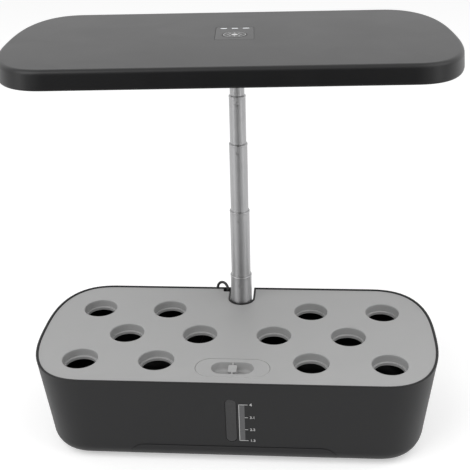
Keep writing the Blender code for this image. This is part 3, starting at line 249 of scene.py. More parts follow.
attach(lead, "tank")
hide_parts("pump_cord")


# Plug of the lead: a low-voltage barrel plug with a moulded PVC grip and a short
# ribbed neck, pushed into the left socket of the pole's foot.
def opened(name):
    """Names the new primitive, puts its place into its mesh and opens it in edit mode."""
    piece = bpy.context.object
    piece.name = piece.data.name = name
    bpy.ops.object.transform_apply(location=True, rotation=True, scale=True)
    bpy.ops.object.mode_set(mode="EDIT")
    return piece


def lathe(name, profile, steps=48, closed=False):
    """Extrudes and scales a circle through (radius, height) steps; a closed one ends where it began."""
    bpy.ops.object.select_all(action="DESELECT")
    radius, height = profile[0]
    bpy.ops.mesh.primitive_circle_add(vertices=steps, radius=radius, location=(0.0, 0.0, height))
    piece = opened(name)
    if not closed:
        bpy.ops.mesh.edge_face_add()
    bpy.ops.mesh.select_mode(type="EDGE")
    for wide, high in profile[1:]:
        if closed:
            bpy.ops.mesh.extrude_edges_move(TRANSFORM_OT_translate={"value": (0.0, 0.0, high - height)})
        else:
            bpy.ops.mesh.extrude_region_move(TRANSFORM_OT_translate={"value": (0.0, 0.0, high - height)})
        bpy.ops.transform.resize(value=(wide / radius, wide / radius, 1.0), center_override=(0.0, 0.0, high))
        radius, height = wide, high
    bpy.ops.mesh.select_all(action="SELECT")
    bpy.ops.mesh.remove_doubles(threshold=0.000004)
    bpy.ops.mesh.normals_make_consistent(inside=False)
    bpy.ops.object.mode_set(mode="OBJECT")
    return piece


def alone(piece):
    """Makes a piece the only one selected and the active one, in object mode."""
    if bpy.context.mode != "OBJECT":
        bpy.ops.object.mode_set(mode="OBJECT")
    bpy.ops.object.select_all(action="DESELECT")
    piece.select_set(True)
    bpy.context.view_layer.objects.active = piece


def dressed(piece, finish, body, *stands_for, angle=35.0, even=True):
    """Puts the place into the mesh, keeps edges over the angle crisp, and gives the piece its finish and body."""
    alone(piece)
    bpy.ops.object.transform_apply(location=True, rotation=True, scale=True)
    bpy.ops.object.shade_smooth_by_angle(angle=math.radians(angle))
    if even:
        weight = piece.modifiers.new("even", "WEIGHTED_NORMAL")
        weight.keep_sharp = True
        bpy.ops.object.modifier_apply(modifier=weight.name)
    piece.data.materials.clear()
    piece.data.materials.append(finish)
    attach(piece, body)
    if stands_for:
        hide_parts(*stands_for)
    return piece


grip = [
    (0.0006, -0.0072), (0.0013, -0.0072), (0.0024, -0.0070), (0.0025, -0.0068), (0.0025, 0.0003),
    (0.0041, 0.0003), (0.0045, 0.0008)
]
for rib in range(5):
    base = 0.0022 + rib * 0.0018
    grip += [(0.0045, base), (0.0042, base + 0.0003), (0.0042, base + 0.0009), (0.0045, base + 0.0012)]
grip += [(0.0045, 0.0115), (0.0040, 0.0123), (0.0024, 0.0127), (0.0024, 0.0172), (0.0017, 0.0173)]
plug = lathe("lead_plug", grip, 40)
plug.rotation_euler = (math.radians(-90), 0.0, 0.0)
plug.location = (-0.0060, 0.0790, 0.0126)
dressed(plug, lead_pvc, "tank", "pump_plug")


# Tank: one deep injection moulding in black ABS, drafted towards the floor, with a
# big soft fillet at the foot, a faint raised arch in front and a channel for the pole.
def pick(piece, kind, test):
    """Chooses only the points, edges or faces whose middle, and normal, pass the test."""
    bpy.ops.mesh.select_mode(type={"verts": "VERT", "edges": "EDGE", "faces": "FACE"}[kind])
    bpy.ops.mesh.select_all(action="DESELECT")
    mesh = bmesh.from_edit_mesh(piece.data)
    for part in getattr(mesh, kind):
        if kind == "verts":
            middle, way = part.co, part.normal
        elif kind == "edges":
            middle, way = (part.verts[0].co + part.verts[1].co) / 2, part.verts[1].co - part.verts[0].co
        else:
            middle, way = part.calc_center_median(), part.normal
        if test(middle, way):
            part.select_set(True)
    bmesh.update_edit_mesh(piece.data)


def rounded_block(name, width, depth, corner, low, high, steps=12, power=2.0, stretch=1.0, centre=(0.0, 0.0)):
    """A block with its upright edges bevelled to a quarter superellipse, then stretched in depth."""
    bpy.ops.object.select_all(action="DESELECT")
    bpy.ops.mesh.primitive_cube_add(
        size=1.0, location=(0.0, 0.0, (low + high) / 2), scale=(width, depth / stretch, high - low)
    )
    piece = opened(name)
    pick(piece, "edges", lambda p, way: abs(way.z) > (high - low) / 2)
    bpy.ops.mesh.bevel(offset=corner, segments=steps, profile=2 ** (-2 / power))
    bpy.ops.mesh.select_all(action="SELECT")
    bpy.ops.mesh.remove_doubles(threshold=0.000004)
    bpy.ops.transform.resize(value=(1.0, stretch, 1.0), center_override=(0.0, 0.0, 0.0))
    bpy.ops.transform.translate(value=(centre[0], centre[1], 0.0))
    return piece


def offset_ring(piece, plan, before, after, centre=(0.0, 0.0)):
    """Moves the chosen ring of a rounded plan (half sizes, then corner sizes) as an even offset of its outline."""
    bpy.ops.mesh.select_mode(type="VERT")
    mesh = bmesh.from_edit_mesh(piece.data)
    ring = [v.index for v in mesh.verts if v.select]
    for axis in (0, 1):
        flat = plan[axis] - plan[axis + 2]
        value = [1.0, 1.0, 1.0]
        value[axis] = (plan[axis + 2] - after) / (plan[axis + 2] - before)
        for side in (-1, 1):
            mesh = bmesh.from_edit_mesh(piece.data)
            mesh.verts.ensure_lookup_table()
            for index in ring:
                point = mesh.verts[index]
                point.select_set(side * (point.co[axis] - centre[axis]) > flat - 0.000001)
            hold = [centre[0], centre[1], 0.0]
            hold[axis] += side * flat
            bpy.ops.transform.resize(value=value, center_override=hold)
    mesh = bmesh.from_edit_mesh(piece.data)
    mesh.verts.ensure_lookup_table()
    for index in ring:
        mesh.verts[index].select_set(True)
    mesh.select_flush(True)
    bpy.ops.mesh.select_mode(type="FACE")


def drawn(piece, plan, sections, centre=(0.0, 0.0)):
    """Extrudes the chosen cap through (inset, height) sections of a rounded plan."""
    inset, height = sections[0]
    for further, level_z in sections[1:]:
        bpy.ops.mesh.extrude_region_move(TRANSFORM_OT_translate={"value": (0.0, 0.0, level_z - height)})
        if further != inset:
            offset_ring(piece, plan, inset, further, centre)
        inset, height = further, level_z


def carve(piece, tool, how="DIFFERENCE"):
    """Cuts a piece with another solid, or joins them, and takes the other away."""
    alone(piece)
    cutter = piece.modifiers.new("carve", "BOOLEAN")
    cutter.operation = how
    cutter.solver = "EXACT"
    cutter.object = tool
    bpy.ops.object.modifier_apply(modifier=cutter.name)
    bpy.data.objects.remove(tool)


rim, foot, wall, draft, fillet = 0.0994, 0.0008, 0.00215, 0.00856, 0.0168
tank_plan = (0.2000, 0.0922, 0.0622, 0.0922)
tank_steps = 20


def lean(z):
    """How far the tank's drafted wall has come in at a height."""
    return draft * (rim - z) / (rim - foot - fillet)


def tank_skin(name, offset, bottom, top):
    """The tank's form, offset inwards: an upright rounded plan drafted down into the foot's fillet."""
    start = offset + lean(top)
    half_w, half_d = tank_plan[0] - start, tank_plan[1] - start
    corner = tank_plan[2] - start
    piece = rounded_block(
        name, 2 * half_w, 2 * half_d, corner, top - 0.0008, top, tank_steps, 2.63, half_d / corner
    )
    pick(piece, "faces", lambda p, way: way.z < -0.9)
    radius = fillet - offset
    sections = [(start, top - 0.0008)]
    sections += [(offset + lean(z), z) for z in (0.0800, 0.0600, 0.0400)]
    for step in range(10, -1, -1):
        turn = math.pi / 2 * step / 10
        sections.append(
            (offset + draft + radius * (1 - math.sin(turn)), bottom + radius * (1 - math.cos(turn)))
        )
    drawn(piece, tank_plan, sections)
    bpy.ops.object.mode_set(mode="OBJECT")
    return piece


def channel_block(name, radius, low, high, rear=0.1000, pole_y=0.0690):
    """A half-round column about the pole's axis that runs out to the rear."""
    bpy.ops.object.select_all(action="DESELECT")
    bpy.ops.mesh.primitive_cylinder_add(
        vertices=72, radius=radius, depth=high - low, location=(0.0, pole_y, (low + high) / 2)
    )
    piece = opened(name)
    bpy.ops.mesh.select_all(action="SELECT")
    bpy.ops.mesh.bisect(
        plane_co=(0.0, pole_y, 0.0), plane_no=(0.0, 1.0, 0.0), use_fill=True, clear_outer=True
    )
    pick(piece, "faces", lambda p, way: way.y > 0.9)
    bpy.ops.mesh.extrude_region_move(TRANSFORM_OT_translate={"value": (0.0, rear - pole_y, 0.0)})
    bpy.ops.mesh.select_all(action="SELECT")
    bpy.ops.mesh.normals_make_consistent(inside=False)
    bpy.ops.object.mode_set(mode="OBJECT")
    return piece


tank = tank_skin("tank_body", 0.0, foot, rim)
arch = tank_skin("arch_pad", -0.0005, foot, rim)
arch_way = rounded_block("arch_way", 0.2040, 0.0346, 0.0160, -0.13, -0.045, 10)
bpy.ops.object.mode_set(mode="OBJECT")
arch_way.rotation_euler = (math.radians(-90), 0.0, 0.0)
arch_way.location = (0.0, 0.0, 0.0032)
alone(arch_way)
bpy.ops.object.transform_apply(location=True, rotation=True, scale=True)
carve(arch, arch_way, "INTERSECT")
carve(tank, arch, "UNION")
cavity = tank_skin("tank_cavity", wall, 0.0034, rim + 0.0040)
carve(cavity, channel_block("pole_tower", 0.0141, 0.0, 0.1080))
carve(tank, cavity)
carve(tank, channel_block("pole_well", 0.0124, 0.0053, 0.1040))
for x in (-0.0050, 0.0050):
    for radius, top in ((0.0031, 0.0032), (0.0016, 0.0090)):
        bpy.ops.object.select_all(action="DESELECT")
        bpy.ops.mesh.primitive_cylinder_add(
            vertices=32, radius=radius, depth=top, location=(x, 0.0615, top / 2)
        )
        drill = opened("screw_drill")
        alone(drill)
        carve(tank, drill)

# The front wall leans, so what is set into it or printed on it has its own frame:
# X along the wall, Y up it and Z out of it, about the middle of the water window.
lean_turn = math.atan2(draft, rim - foot - fillet)
window_z = 0.0536
wall_frame = Matrix((
    (1.0, 0.0, 0.0, -0.0006),
    (0.0, -math.sin(lean_turn), -math.cos(lean_turn), lean(window_z) - 0.0922),
    (0.0, math.cos(lean_turn), -math.sin(lean_turn), window_z),
    (0.0, 0.0, 0.0, 1.0),
))
slit = rounded_block("window_slit", 0.0110, 0.0540, 0.0055, -0.0062, 0.0040, 12)
alone(slit)
slit.matrix_world = wall_frame
carve(tank, slit)

# Ribs inside the wall carry the deck's skirt; their tops are lightly rounded.
ribs = []
for side_x, side_y, along in [
    (s * x, t, 0) for x in (0.0500, 0.1120) for s in (-1, 1) for t in (-1, 1)
] + [(-1, 0, 1), (1, 0, 1)]:
    middle = 0.0841
    reach = 0.0042
    deep = lean(middle) + wall / 2 + reach / 2
    bpy.ops.object.select_all(action="DESELECT")
    if along:
        where, size = (side_x * (0.2000 - deep), 0.0, middle), (reach, 0.0020, 0.0120)
    else:
        where, size = (side_x, side_y * (0.0922 - deep), middle), (0.0020, reach, 0.0120)
    bpy.ops.mesh.primitive_cube_add(size=1.0, location=where, scale=size)
    rib = opened("deck_rib")
    pick(rib, "edges", lambda p, way: p.z > 0.0895)
    bpy.ops.mesh.bevel(offset=0.0004, segments=2)
    bpy.ops.object.mode_set(mode="OBJECT")
    ribs.append(rib)
alone(tank)
bpy.ops.object.mode_set(mode="EDIT")
pick(tank, "edges", lambda p, way: abs(p.z - rim) < 0.000005 and abs(way.z) < 0.000005)
bpy.ops.mesh.bevel(offset=0.00045, segments=3, clamp_overlap=True)
bpy.ops.object.mode_set(mode="OBJECT")
for rib in ribs:
    rib.select_set(True)
bpy.ops.object.join()


# Black ABS, injection moulded on a fine spark-eroded tool: satin, with a tight
# pebble grain that blurs what it mirrors and a barely seen drift in tone.
def grained(name, dark, light, grain, deep, satin, ior=1.50, drift=0.045):
    """Moulded plastic: grain and depth of its texture in metres, and its lowest and highest roughness."""
    made = bpy.data.materials.new(name)
    made.use_nodes = True
    tree = made.node_tree
    shader = tree.nodes["Principled BSDF"]
    place = add(tree, "ShaderNodeTexCoord")
    pebble = add(
        tree, "ShaderNodeTexNoise",
        {"Vector": place.outputs["Object"], "Scale": 1.0 / grain, "Detail": 4.0, "Roughness": 0.62}
    )
    flow = add(
        tree, "ShaderNodeTexNoise",
        {"Vector": place.outputs["Object"], "Scale": 1.0 / drift, "Detail": 2.0, "Distortion": 0.6}
    )
    mixed = add(tree, "ShaderNodeMath", {0: pebble.outputs["Fac"], 1: 0.35}, operation="MULTIPLY")
    summed = add(
        tree, "ShaderNodeMath", {0: flow.outputs["Fac"], 1: 0.65, 2: mixed.outputs[0]},
        operation="MULTIPLY_ADD"
    )
    tone = add(
        tree, "ShaderNodeMix", {"Factor": summed.outputs[0], "A": linear(dark), "B": linear(light)},
        data_type="RGBA"
    )
    tree.links.new(tone.outputs["Result"], shader.inputs["Base Color"])
    worn = add(
        tree, "ShaderNodeMapRange",
        {
            "Value": summed.outputs[0], "From Min": 0.25, "From Max": 0.75, "To Min": satin[0],
            "To Max": satin[1]
        }
    )
    tree.links.new(worn.outputs["Result"], shader.inputs["Roughness"])
    relief = add(tree, "ShaderNodeBump", {"Height": pebble.outputs["Fac"], "Strength": 0.7, "Distance": deep})
    tree.links.new(relief.outputs["Normal"], shader.inputs["Normal"])
    shader.inputs["IOR"].default_value = ior
    return made


tank_abs = grained("spark_textured_black_abs", "#1a1a1b", "#212122", 0.0007, 0.00003, (0.42, 0.50), 1.34)
dressed(tank, tank_abs, "tank", "tank_shell")


# Water window: a smoked polycarbonate strip let into the front wall from inside,
# flush outside, held by its flange on a rubber gasket.
strip = rounded_block("water_window_strip", 0.0164, 0.0594, 0.0082, -0.00525, -0.00375, 12)
pick(strip, "faces", lambda p, way: way.z > 0.9)
offset_ring_plan = (0.0082, 0.0297, 0.0082, 0.0082)
bpy.ops.mesh.extrude_region_move(TRANSFORM_OT_translate={"value": (0.0, 0.0, 0.0)})
offset_ring(strip, offset_ring_plan, 0.0, 0.0030)
bpy.ops.mesh.extrude_region_move(TRANSFORM_OT_translate={"value": (0.0, 0.0, 0.00355)})
bpy.ops.mesh.extrude_region_move(TRANSFORM_OT_translate={"value": (0.0, 0.0, 0.0002)})
offset_ring(strip, offset_ring_plan, 0.0030, 0.0032)
alone(strip)
strip.matrix_world = wall_frame
window_pc = bpy.data.materials.new("moulded_smoked_polycarbonate")
window_pc.use_nodes = True
tree = window_pc.node_tree
shader = tree.nodes["Principled BSDF"]
place = add(tree, "ShaderNodeTexCoord")
haze = add(tree, "ShaderNodeTexNoise", {"Vector": place.outputs["Object"], "Scale": 380.0, "Detail": 3.0})
tone = add(
    tree, "ShaderNodeMix", {"Factor": haze.outputs["Fac"], "A": linear("#232324"), "B": linear("#2e2e2f")},
    data_type="RGBA"
)
tree.links.new(tone.outputs["Result"], shader.inputs["Base Color"])
gloss = add(tree, "ShaderNodeMapRange", {"Value": haze.outputs["Fac"], "To Min": 0.16, "To Max": 0.26})
tree.links.new(gloss.outputs["Result"], shader.inputs["Roughness"])
shader.inputs["IOR"].default_value = 1.46
dressed(strip, window_pc, "tank", "water_window")

rubber = grained("moulded_black_rubber", "#111112", "#1c1c1d", 0.0009, 0.00005, (0.62, 0.78), 1.52)
gasket = rounded_block("window_gasket_ring", 0.0164, 0.0594, 0.0082, -0.00345, -0.00245, 12)
alone(gasket)
eye = rounded_block("gasket_eye", 0.0120, 0.0550, 0.0060, -0.0060, 0.0, 12)
alone(eye)
carve(gasket, eye)
gasket.matrix_world = wall_frame
dressed(gasket, rubber, "tank", "window_gasket")
for name in ("pump_cup_1", "pump_cup_2", "pump_cup_3", "pump_cup_4"):
    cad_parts[name].data.materials.clear()
    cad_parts[name].data.materials.append(rubber)


# Level scale: pad-printed beside the window in white and grey ink, a bracket with
# four marks and plain numbers.
def printed(name, pieces, ink, body):
    """Joins thin pieces of one ink into a print."""
    alone(pieces[0])
    for piece in pieces[1:]:
        piece.select_set(True)
    if len(pieces) > 1:
        bpy.ops.object.join()
    pieces[0].name = pieces[0].data.name = name
    return dressed(pieces[0], ink, body, even=False)


def ink_bar(low, high, thick=0.00006):
    """A bar of ink with rounded corners, between two corners in the wall's frame."""
    size = (high[0] - low[0], high[1] - low[1])
    bar = rounded_block("ink_bar", size[0], size[1], min(size) * 0.3, 0.00001, 0.00001 + thick, 3)
    alone(bar)
    bar.matrix_world = wall_frame @ Matrix.Translation(((low[0] + high[0]) / 2, (low[1] + high[1]) / 2, 0.0))
    bpy.ops.object.transform_apply(location=True, rotation=True, scale=True)
    return bar


up = lambda z: (z - window_z) / math.cos(lean_turn)
marks_z = (0.0743, 0.0583, 0.0429, 0.0287)
white_bars = [ink_bar((0.0075, up(marks_z[-1] - 0.0002)), (0.0081, up(marks_z[0] + 0.0002)), 0.00008)]
for z in marks_z:
    start = 0.0081 if z in (marks_z[0], marks_z[-1]) else 0.0131
    white_bars.append(ink_bar((start, up(z) - 0.00028), (0.0162, up(z) + 0.00028), 0.00008))
for z, figure, size in zip(marks_z, ("4", "3.1", "2.2", "1.3"), (0.0050, 0.0042, 0.0042, 0.0042)):
    bpy.ops.object.select_all(action="DESELECT")
    bpy.ops.object.text_add()
    words = bpy.context.object
    words.data.body = figure
    words.data.size = size
    words.data.align_y = "CENTER"
    words.data.extrude = 0.00003
    words.data.offset = 0.00006
    bpy.ops.object.convert(target="MESH")
    bpy.ops.object.mode_set(mode="EDIT")
    bpy.ops.mesh.select_all(action="SELECT")
    bpy.ops.mesh.remove_doubles(threshold=0.000001)
    bpy.ops.object.mode_set(mode="OBJECT")
    words.matrix_world = wall_frame @ Matrix.Translation((0.0178, up(z), 0.00006))
    bpy.ops.object.transform_apply(location=True, rotation=True, scale=True)
    white_bars.append(words)

# Screen ink lies in a thin matt film whose edge breaks up a little.
inks = {}
for name, dark, light in (
    ("white_screen_ink", "#b9b9b9", "#dedede"), ("grey_screen_ink", "#4c4c4d", "#6a6a6b")
):
    ink = inks[name] = bpy.data.materials.new(name)
    ink.use_nodes = True
    tree = ink.node_tree
    shader = tree.nodes["Principled BSDF"]
    place = add(tree, "ShaderNodeTexCoord")
    film = add(
        tree, "ShaderNodeTexNoise", {"Vector": place.outputs["Object"], "Scale": 1400.0, "Detail": 3.0}
    )
    tone = add(
        tree, "ShaderNodeMix", {"Factor": film.outputs["Fac"], "A": linear(dark), "B": linear(light)},
        data_type="RGBA"
    )
    tree.links.new(tone.outputs["Result"], shader.inputs["Base Color"])
    skin = add(tree, "ShaderNodeBump", {"Height": film.outputs["Fac"], "Strength": 0.5, "Distance": 0.00002})
    tree.links.new(skin.outputs["Normal"], shader.inputs["Normal"])
    shader.inputs["Roughness"].default_value = 0.62
printed("level_marks", white_bars, inks["white_screen_ink"], "tank")
printed(
    "level_band", [ink_bar((0.0082, up(marks_z[-1] + 0.0001)), (0.0131, up(marks_z[0] - 0.0001)))],
    inks["grey_screen_ink"], "tank"
)


# Feet: four black rubber pads glued into round seats under the floor.
for number in (1, 2, 3, 4):
    low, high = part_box(f"foot_pad_{number}")
    pad = lathe("rubber_foot", [
        (0.0060, 0.0), (0.0070, 0.0001), (0.0075, 0.0005), (0.0075, 0.0018),
    ], 48)
    pad.name = pad.data.name = f"rubber_foot_{number}"
    pad.location = ((low.x + high.x) / 2, (low.y + high.y) / 2, 0.0)
    dressed(pad, rubber, "tank", f"foot_pad_{number}")


# Planting deck: a grey ABS plate with a skirt that sits on the tank's ribs, twelve
# stepped sleeves for the plant baskets, a fill port and a slot round the pole.
deck_z = 0.0984


def deck_block(name, inward, low, high):
    """A layer of the deck's plan at one inset, drafted like the tank's wall."""
    start = lean(high) + wall + 0.0003 + inward
    half_w, half_d, corner = tank_plan[0] - start, tank_plan[1] - start, tank_plan[2] - start
    piece = rounded_block(
        name, 2 * half_w, 2 * half_d, corner, high - 0.0001, high, tank_steps, 2.63, half_d / corner
    )
    pick(piece, "faces", lambda p, way: way.z < -0.9)
    drawn(piece, tank_plan, [(start, high - 0.0001), (lean(low) + wall + 0.0003 + inward, low)])
    bpy.ops.object.mode_set(mode="OBJECT")
    return piece


deck = deck_block("deck_plate", 0.0, 0.0904, deck_z)
hollow = deck_block("deck_hollow", 0.0020, 0.0860, deck_z - 0.0022)
carve(hollow, channel_block("slot_wall", 0.0164, 0.0, 0.1100))
carve(deck, hollow)
boss = rounded_block(
    "port_boss", 0.0752, 0.0341, 0.01705, deck_z - 0.0049, deck_z - 0.0011, 20, centre=(0.0, -0.0643)
)
alone(boss)
carve(deck, boss, "UNION")
carve(deck, channel_block("pole_slot", 0.0144, 0.0, 0.1100))
bpy.ops.object.select_all(action="DESELECT")
bpy.ops.mesh.primitive_cube_add(size=1.0, location=(-0.0174, 0.08875, 0.0800), scale=(0.0080, 0.0103, 0.0600))
notch = opened("lead_notch")
pick(notch, "edges", lambda p, way: abs(way.z) > 0.01 and p.y < 0.0850)
bpy.ops.mesh.bevel(offset=0.0015, segments=5)
alone(notch)
carve(deck, notch)
seat = rounded_block(
    "lid_seat", 0.0720, 0.0309, 0.01545, deck_z - 0.0027, deck_z + 0.0040, 24, centre=(0.0, -0.0643)
)
alone(seat)
carve(deck, seat)
port = rounded_block(
    "fill_port", 0.0664, 0.0253, 0.01265, deck_z - 0.0090, deck_z + 0.0040, 24, centre=(0.0, -0.0643)
)
alone(port)
carve(deck, port)
alone(deck)
bpy.ops.object.mode_set(mode="EDIT")
pick(deck, "edges", lambda p, way: abs(p.z - deck_z) < 0.000005 and abs(way.z) < 0.000005)
bpy.ops.mesh.bevel(offset=0.0004, segments=3, clamp_overlap=True)
bpy.ops.object.mode_set(mode="OBJECT")

hole_r, low_r, lip = 0.01725, 0.01525, 0.0012
holes = [(share * 0.0750, 0.0439) for share in (-2, -1, 1, 2)]
holes += [(share * 0.0750, -0.0045) for share in (-1.5, -0.5, 0.5, 1.5)]
holes += [(share * 0.0750, -0.0529) for share in (-2, -1, 1, 2)]
for x, y in holes:
    bpy.ops.object.select_all(action="DESELECT")
    bpy.ops.mesh.primitive_cylinder_add(
        vertices=64, radius=hole_r + lip, depth=0.0100, location=(x, y, deck_z)
    )
    drill = opened("hole_drill")
    alone(drill)
    carve(deck, drill)
alone(deck)
bpy.ops.object.mode_set(mode="EDIT")
pick(
    deck, "faces",
    lambda p, way: abs(way.z) < 0.1 and min(
        abs(math.hypot(p.x - x, p.y - y) - hole_r - lip) for x, y in holes
    ) < 0.0001
)
bpy.ops.mesh.delete(type="FACE")
bpy.ops.object.mode_set(mode="OBJECT")
profile = [
    (hole_r + lip * (1 - math.sin(turn)), deck_z - lip * (1 - math.cos(turn)))
    for turn in [math.pi / 2 * k / 6 for k in range(7)]
]
profile += [
    (hole_r - 0.00005, deck_z - 0.0040), (hole_r - 0.0001, deck_z - 0.0080),
    (hole_r - 0.0003, deck_z - 0.0084), (hole_r - 0.0006, deck_z - 0.0085),
    (low_r + 0.0004, deck_z - 0.0085), (low_r + 0.0001, deck_z - 0.0086), (low_r, deck_z - 0.0089),
    (low_r, deck_z - 0.0100),
    (low_r, deck_z - 0.0113), (low_r + 0.0003, deck_z - 0.0115), (low_r + 0.0015, deck_z - 0.0115),
    (low_r + 0.0018, deck_z - 0.0112),
    (low_r + 0.0018, deck_z - 0.0103), (hole_r + 0.0015, deck_z - 0.0103),
    (hole_r + 0.0018, deck_z - 0.0100), (hole_r + 0.0018, deck_z - 0.0022),
    (hole_r + lip, deck_z - 0.0022),
]
sleeves = []
for x, y in holes:
    bpy.ops.object.select_all(action="DESELECT")
    radius, height = profile[0]
    bpy.ops.mesh.primitive_circle_add(vertices=64, radius=radius, location=(x, y, height))
    sleeve = opened("sleeve")
    bpy.ops.mesh.select_mode(type="EDGE")
    for wide, high in profile[1:]:
        bpy.ops.mesh.extrude_edges_move(TRANSFORM_OT_translate={"value": (0.0, 0.0, high - height)})
        bpy.ops.transform.resize(value=(wide / radius, wide / radius, 1.0), center_override=(x, y, high))
        radius, height = wide, high
    bpy.ops.object.mode_set(mode="OBJECT")
    sleeves.append(sleeve)
alone(deck)
for sleeve in sleeves:
    sleeve.select_set(True)
bpy.ops.object.join()
bpy.ops.object.mode_set(mode="EDIT")
bpy.ops.mesh.select_all(action="SELECT")
bpy.ops.mesh.remove_doubles(threshold=0.00002)
bpy.ops.mesh.normals_make_consistent(inside=False)
bpy.ops.object.mode_set(mode="OBJECT")
deck_abs = grained("satin_grey_abs", "#a2a2a2", "#acacac", 0.0011, 0.00003, (0.42, 0.54), 1.50)
dressed(deck, deck_abs, "deck", "planting_deck")


# Fill lid: the same grey ABS, an oblong plate that drops into its seat, with a
# scooped finger pocket and a grip block that stands on a thin web in the middle.
lid_y = -0.0643
lid = rounded_block(
    "fill_lid_plate", 0.0714, 0.0303, 0.01515, deck_z - 0.0024, deck_z, 24, centre=(0.0, lid_y)
)
pick(lid, "edges", lambda p, way: abs(p.z - deck_z) < 0.000005)
bpy.ops.mesh.bevel(offset=0.0004, segments=3)
bpy.ops.object.mode_set(mode="OBJECT")
scoop = [
    (0.0, deck_z), (0.0003, deck_z - 0.0030), (0.0007, deck_z - 0.0062), (0.0012, deck_z - 0.0077),
    (0.0020, deck_z - 0.0086), (0.0031, deck_z - 0.0091), (0.0044, deck_z - 0.0092)
]
bowl_plan = (0.02195, 0.01145, 0.01145, 0.01145)
bowl = rounded_block(
    "pocket_bowl", 0.0439, 0.0229, 0.01145, deck_z - 0.0020, deck_z - 0.0012, 20, centre=(0.0, lid_y)
)
pick(bowl, "faces", lambda p, way: way.z < -0.9)
drawn(
    bowl, bowl_plan, [(0.0, deck_z - 0.0020)] + [(inset, z - 0.0016) for inset, z in scoop[1:]],
    (0.0, lid_y)
)
bpy.ops.object.mode_set(mode="OBJECT")
carve(lid, bowl, "UNION")
pocket_plan = (0.02035, 0.00985, 0.00985, 0.00985)
pocket = rounded_block(
    "finger_pocket", 0.0407, 0.0197, 0.00985, deck_z, deck_z + 0.0030, 20, centre=(0.0, lid_y)
)
pick(pocket, "faces", lambda p, way: way.z < -0.9)
drawn(pocket, pocket_plan, scoop, (0.0, lid_y))
bpy.ops.object.mode_set(mode="OBJECT")
carve(lid, pocket)
alone(lid)
bpy.ops.object.mode_set(mode="EDIT")
pick(
    lid, "edges",
    lambda p, way: abs(
        p.z - deck_z
    ) < 0.000005 and abs(p.x) < 0.0206 and abs(p.y - lid_y) < 0.0101 and abs(way.z) < 0.000005
)
bpy.ops.mesh.bevel(offset=0.0006, segments=3)
bpy.ops.object.mode_set(mode="OBJECT")
grip = rounded_block(
    "grip_block", 0.0082, 0.0116, 0.0012, deck_z - 0.0096, deck_z - 0.0005, 4, centre=(0.0, lid_y)
)
pick(grip, "edges", lambda p, way: abs(p.z - deck_z + 0.0005) < 0.000005)
bpy.ops.mesh.bevel(offset=0.0004, segments=3)
bpy.ops.object.mode_set(mode="OBJECT")
bpy.ops.object.select_all(action="DESELECT")
bpy.ops.mesh.primitive_cube_add(
    size=1.0, location=(0.0, lid_y, deck_z - 0.0050), scale=(0.0015, 0.0200, 0.0086)
)
web = opened("grip_web")
pick(web, "edges", lambda p, way: abs(p.z - deck_z + 0.0007) < 0.000005)
bpy.ops.mesh.bevel(offset=0.0003, segments=2)
alone(lid)
grip.select_set(True)
web.select_set(True)
bpy.ops.object.join()
dressed(lid, deck_abs, "lid", "fill_lid")


# Telescopic pole: five stainless tubes, each drawn and ground, with a rolled lip at
# the top and a pressed dimple; nylon bushes guide them inside each other.
pole_y = 0.0690
tube_walls = (0.0112, 0.0102, 0.0092, 0.0082, 0.0072)
tube_lows = (0.0206, 0.1172, 0.1933, 0.2449, 0.3052)
tube_tops = (0.1294, 0.2042, 0.2774, 0.3269, 0.3942)
dimple_heights = (0.1194, 0.1955, 0.2697, 0.3194, 0.3842)
bodies = ("tank", "stage_2", "stage_3", "stage_4", "stage_5")


def brushed(name, dark, light, satin, across, stretched=0.0):
    """Metal whose grinding lines run round an upright axis and stretch what it mirrors along that axis."""
    made = bpy.data.materials.new(name)
    made.use_nodes = True
    tree = made.node_tree
    shader = tree.nodes["Principled BSDF"]
    place = add(tree, "ShaderNodeTexCoord")
    lines = add(tree, "ShaderNodeMapping", {"Vector": place.outputs["Object"], "Scale": (60.0, 60.0, across)})
    scratch = add(
        tree, "ShaderNodeTexNoise",
        {"Vector": lines.outputs[0], "Scale": 1.0, "Detail": 4.0, "Roughness": 0.6}
    )
    cloud = add(tree, "ShaderNodeTexNoise", {"Vector": place.outputs["Object"], "Scale": 45.0, "Detail": 3.0})
    both = add(tree, "ShaderNodeMath", {0: scratch.outputs["Fac"], 1: cloud.outputs["Fac"]}, operation="ADD")
    half = add(tree, "ShaderNodeMath", {0: both.outputs[0], 1: 0.5}, operation="MULTIPLY")
    tone = add(
        tree, "ShaderNodeMix", {"Factor": half.outputs[0], "A": linear(dark), "B": linear(light)},
        data_type="RGBA"
    )
    tree.links.new(tone.outputs["Result"], shader.inputs["Base Color"])
    worn = add(
        tree, "ShaderNodeMapRange",
        {
            "Value": scratch.outputs["Fac"], "From Min": 0.3, "From Max": 0.7, "To Min": satin[0],
            "To Max": satin[1]
        }
    )
    tree.links.new(worn.outputs["Result"], shader.inputs["Roughness"])
    relief = add(
        tree, "ShaderNodeBump", {"Height": scratch.outputs["Fac"], "Strength": 0.5, "Distance": 0.000012}
    )
    tree.links.new(relief.outputs["Normal"], shader.inputs["Normal"])
    shader.inputs["Metallic"].default_value = 1.0
    if stretched:
        face = add(tree, "ShaderNodeNewGeometry")
        round_it = add(
            tree, "ShaderNodeVectorMath", {0: face.outputs["Normal"], 1: (0.0, 0.0, 1.0)},
            operation="CROSS_PRODUCT"
        )
        tree.links.new(round_it.outputs[0], shader.inputs["Tangent"])
        shader.inputs["Anisotropic"].default_value = stretched
        shader.inputs["Anisotropic Rotation"].default_value = 0.25
    return made


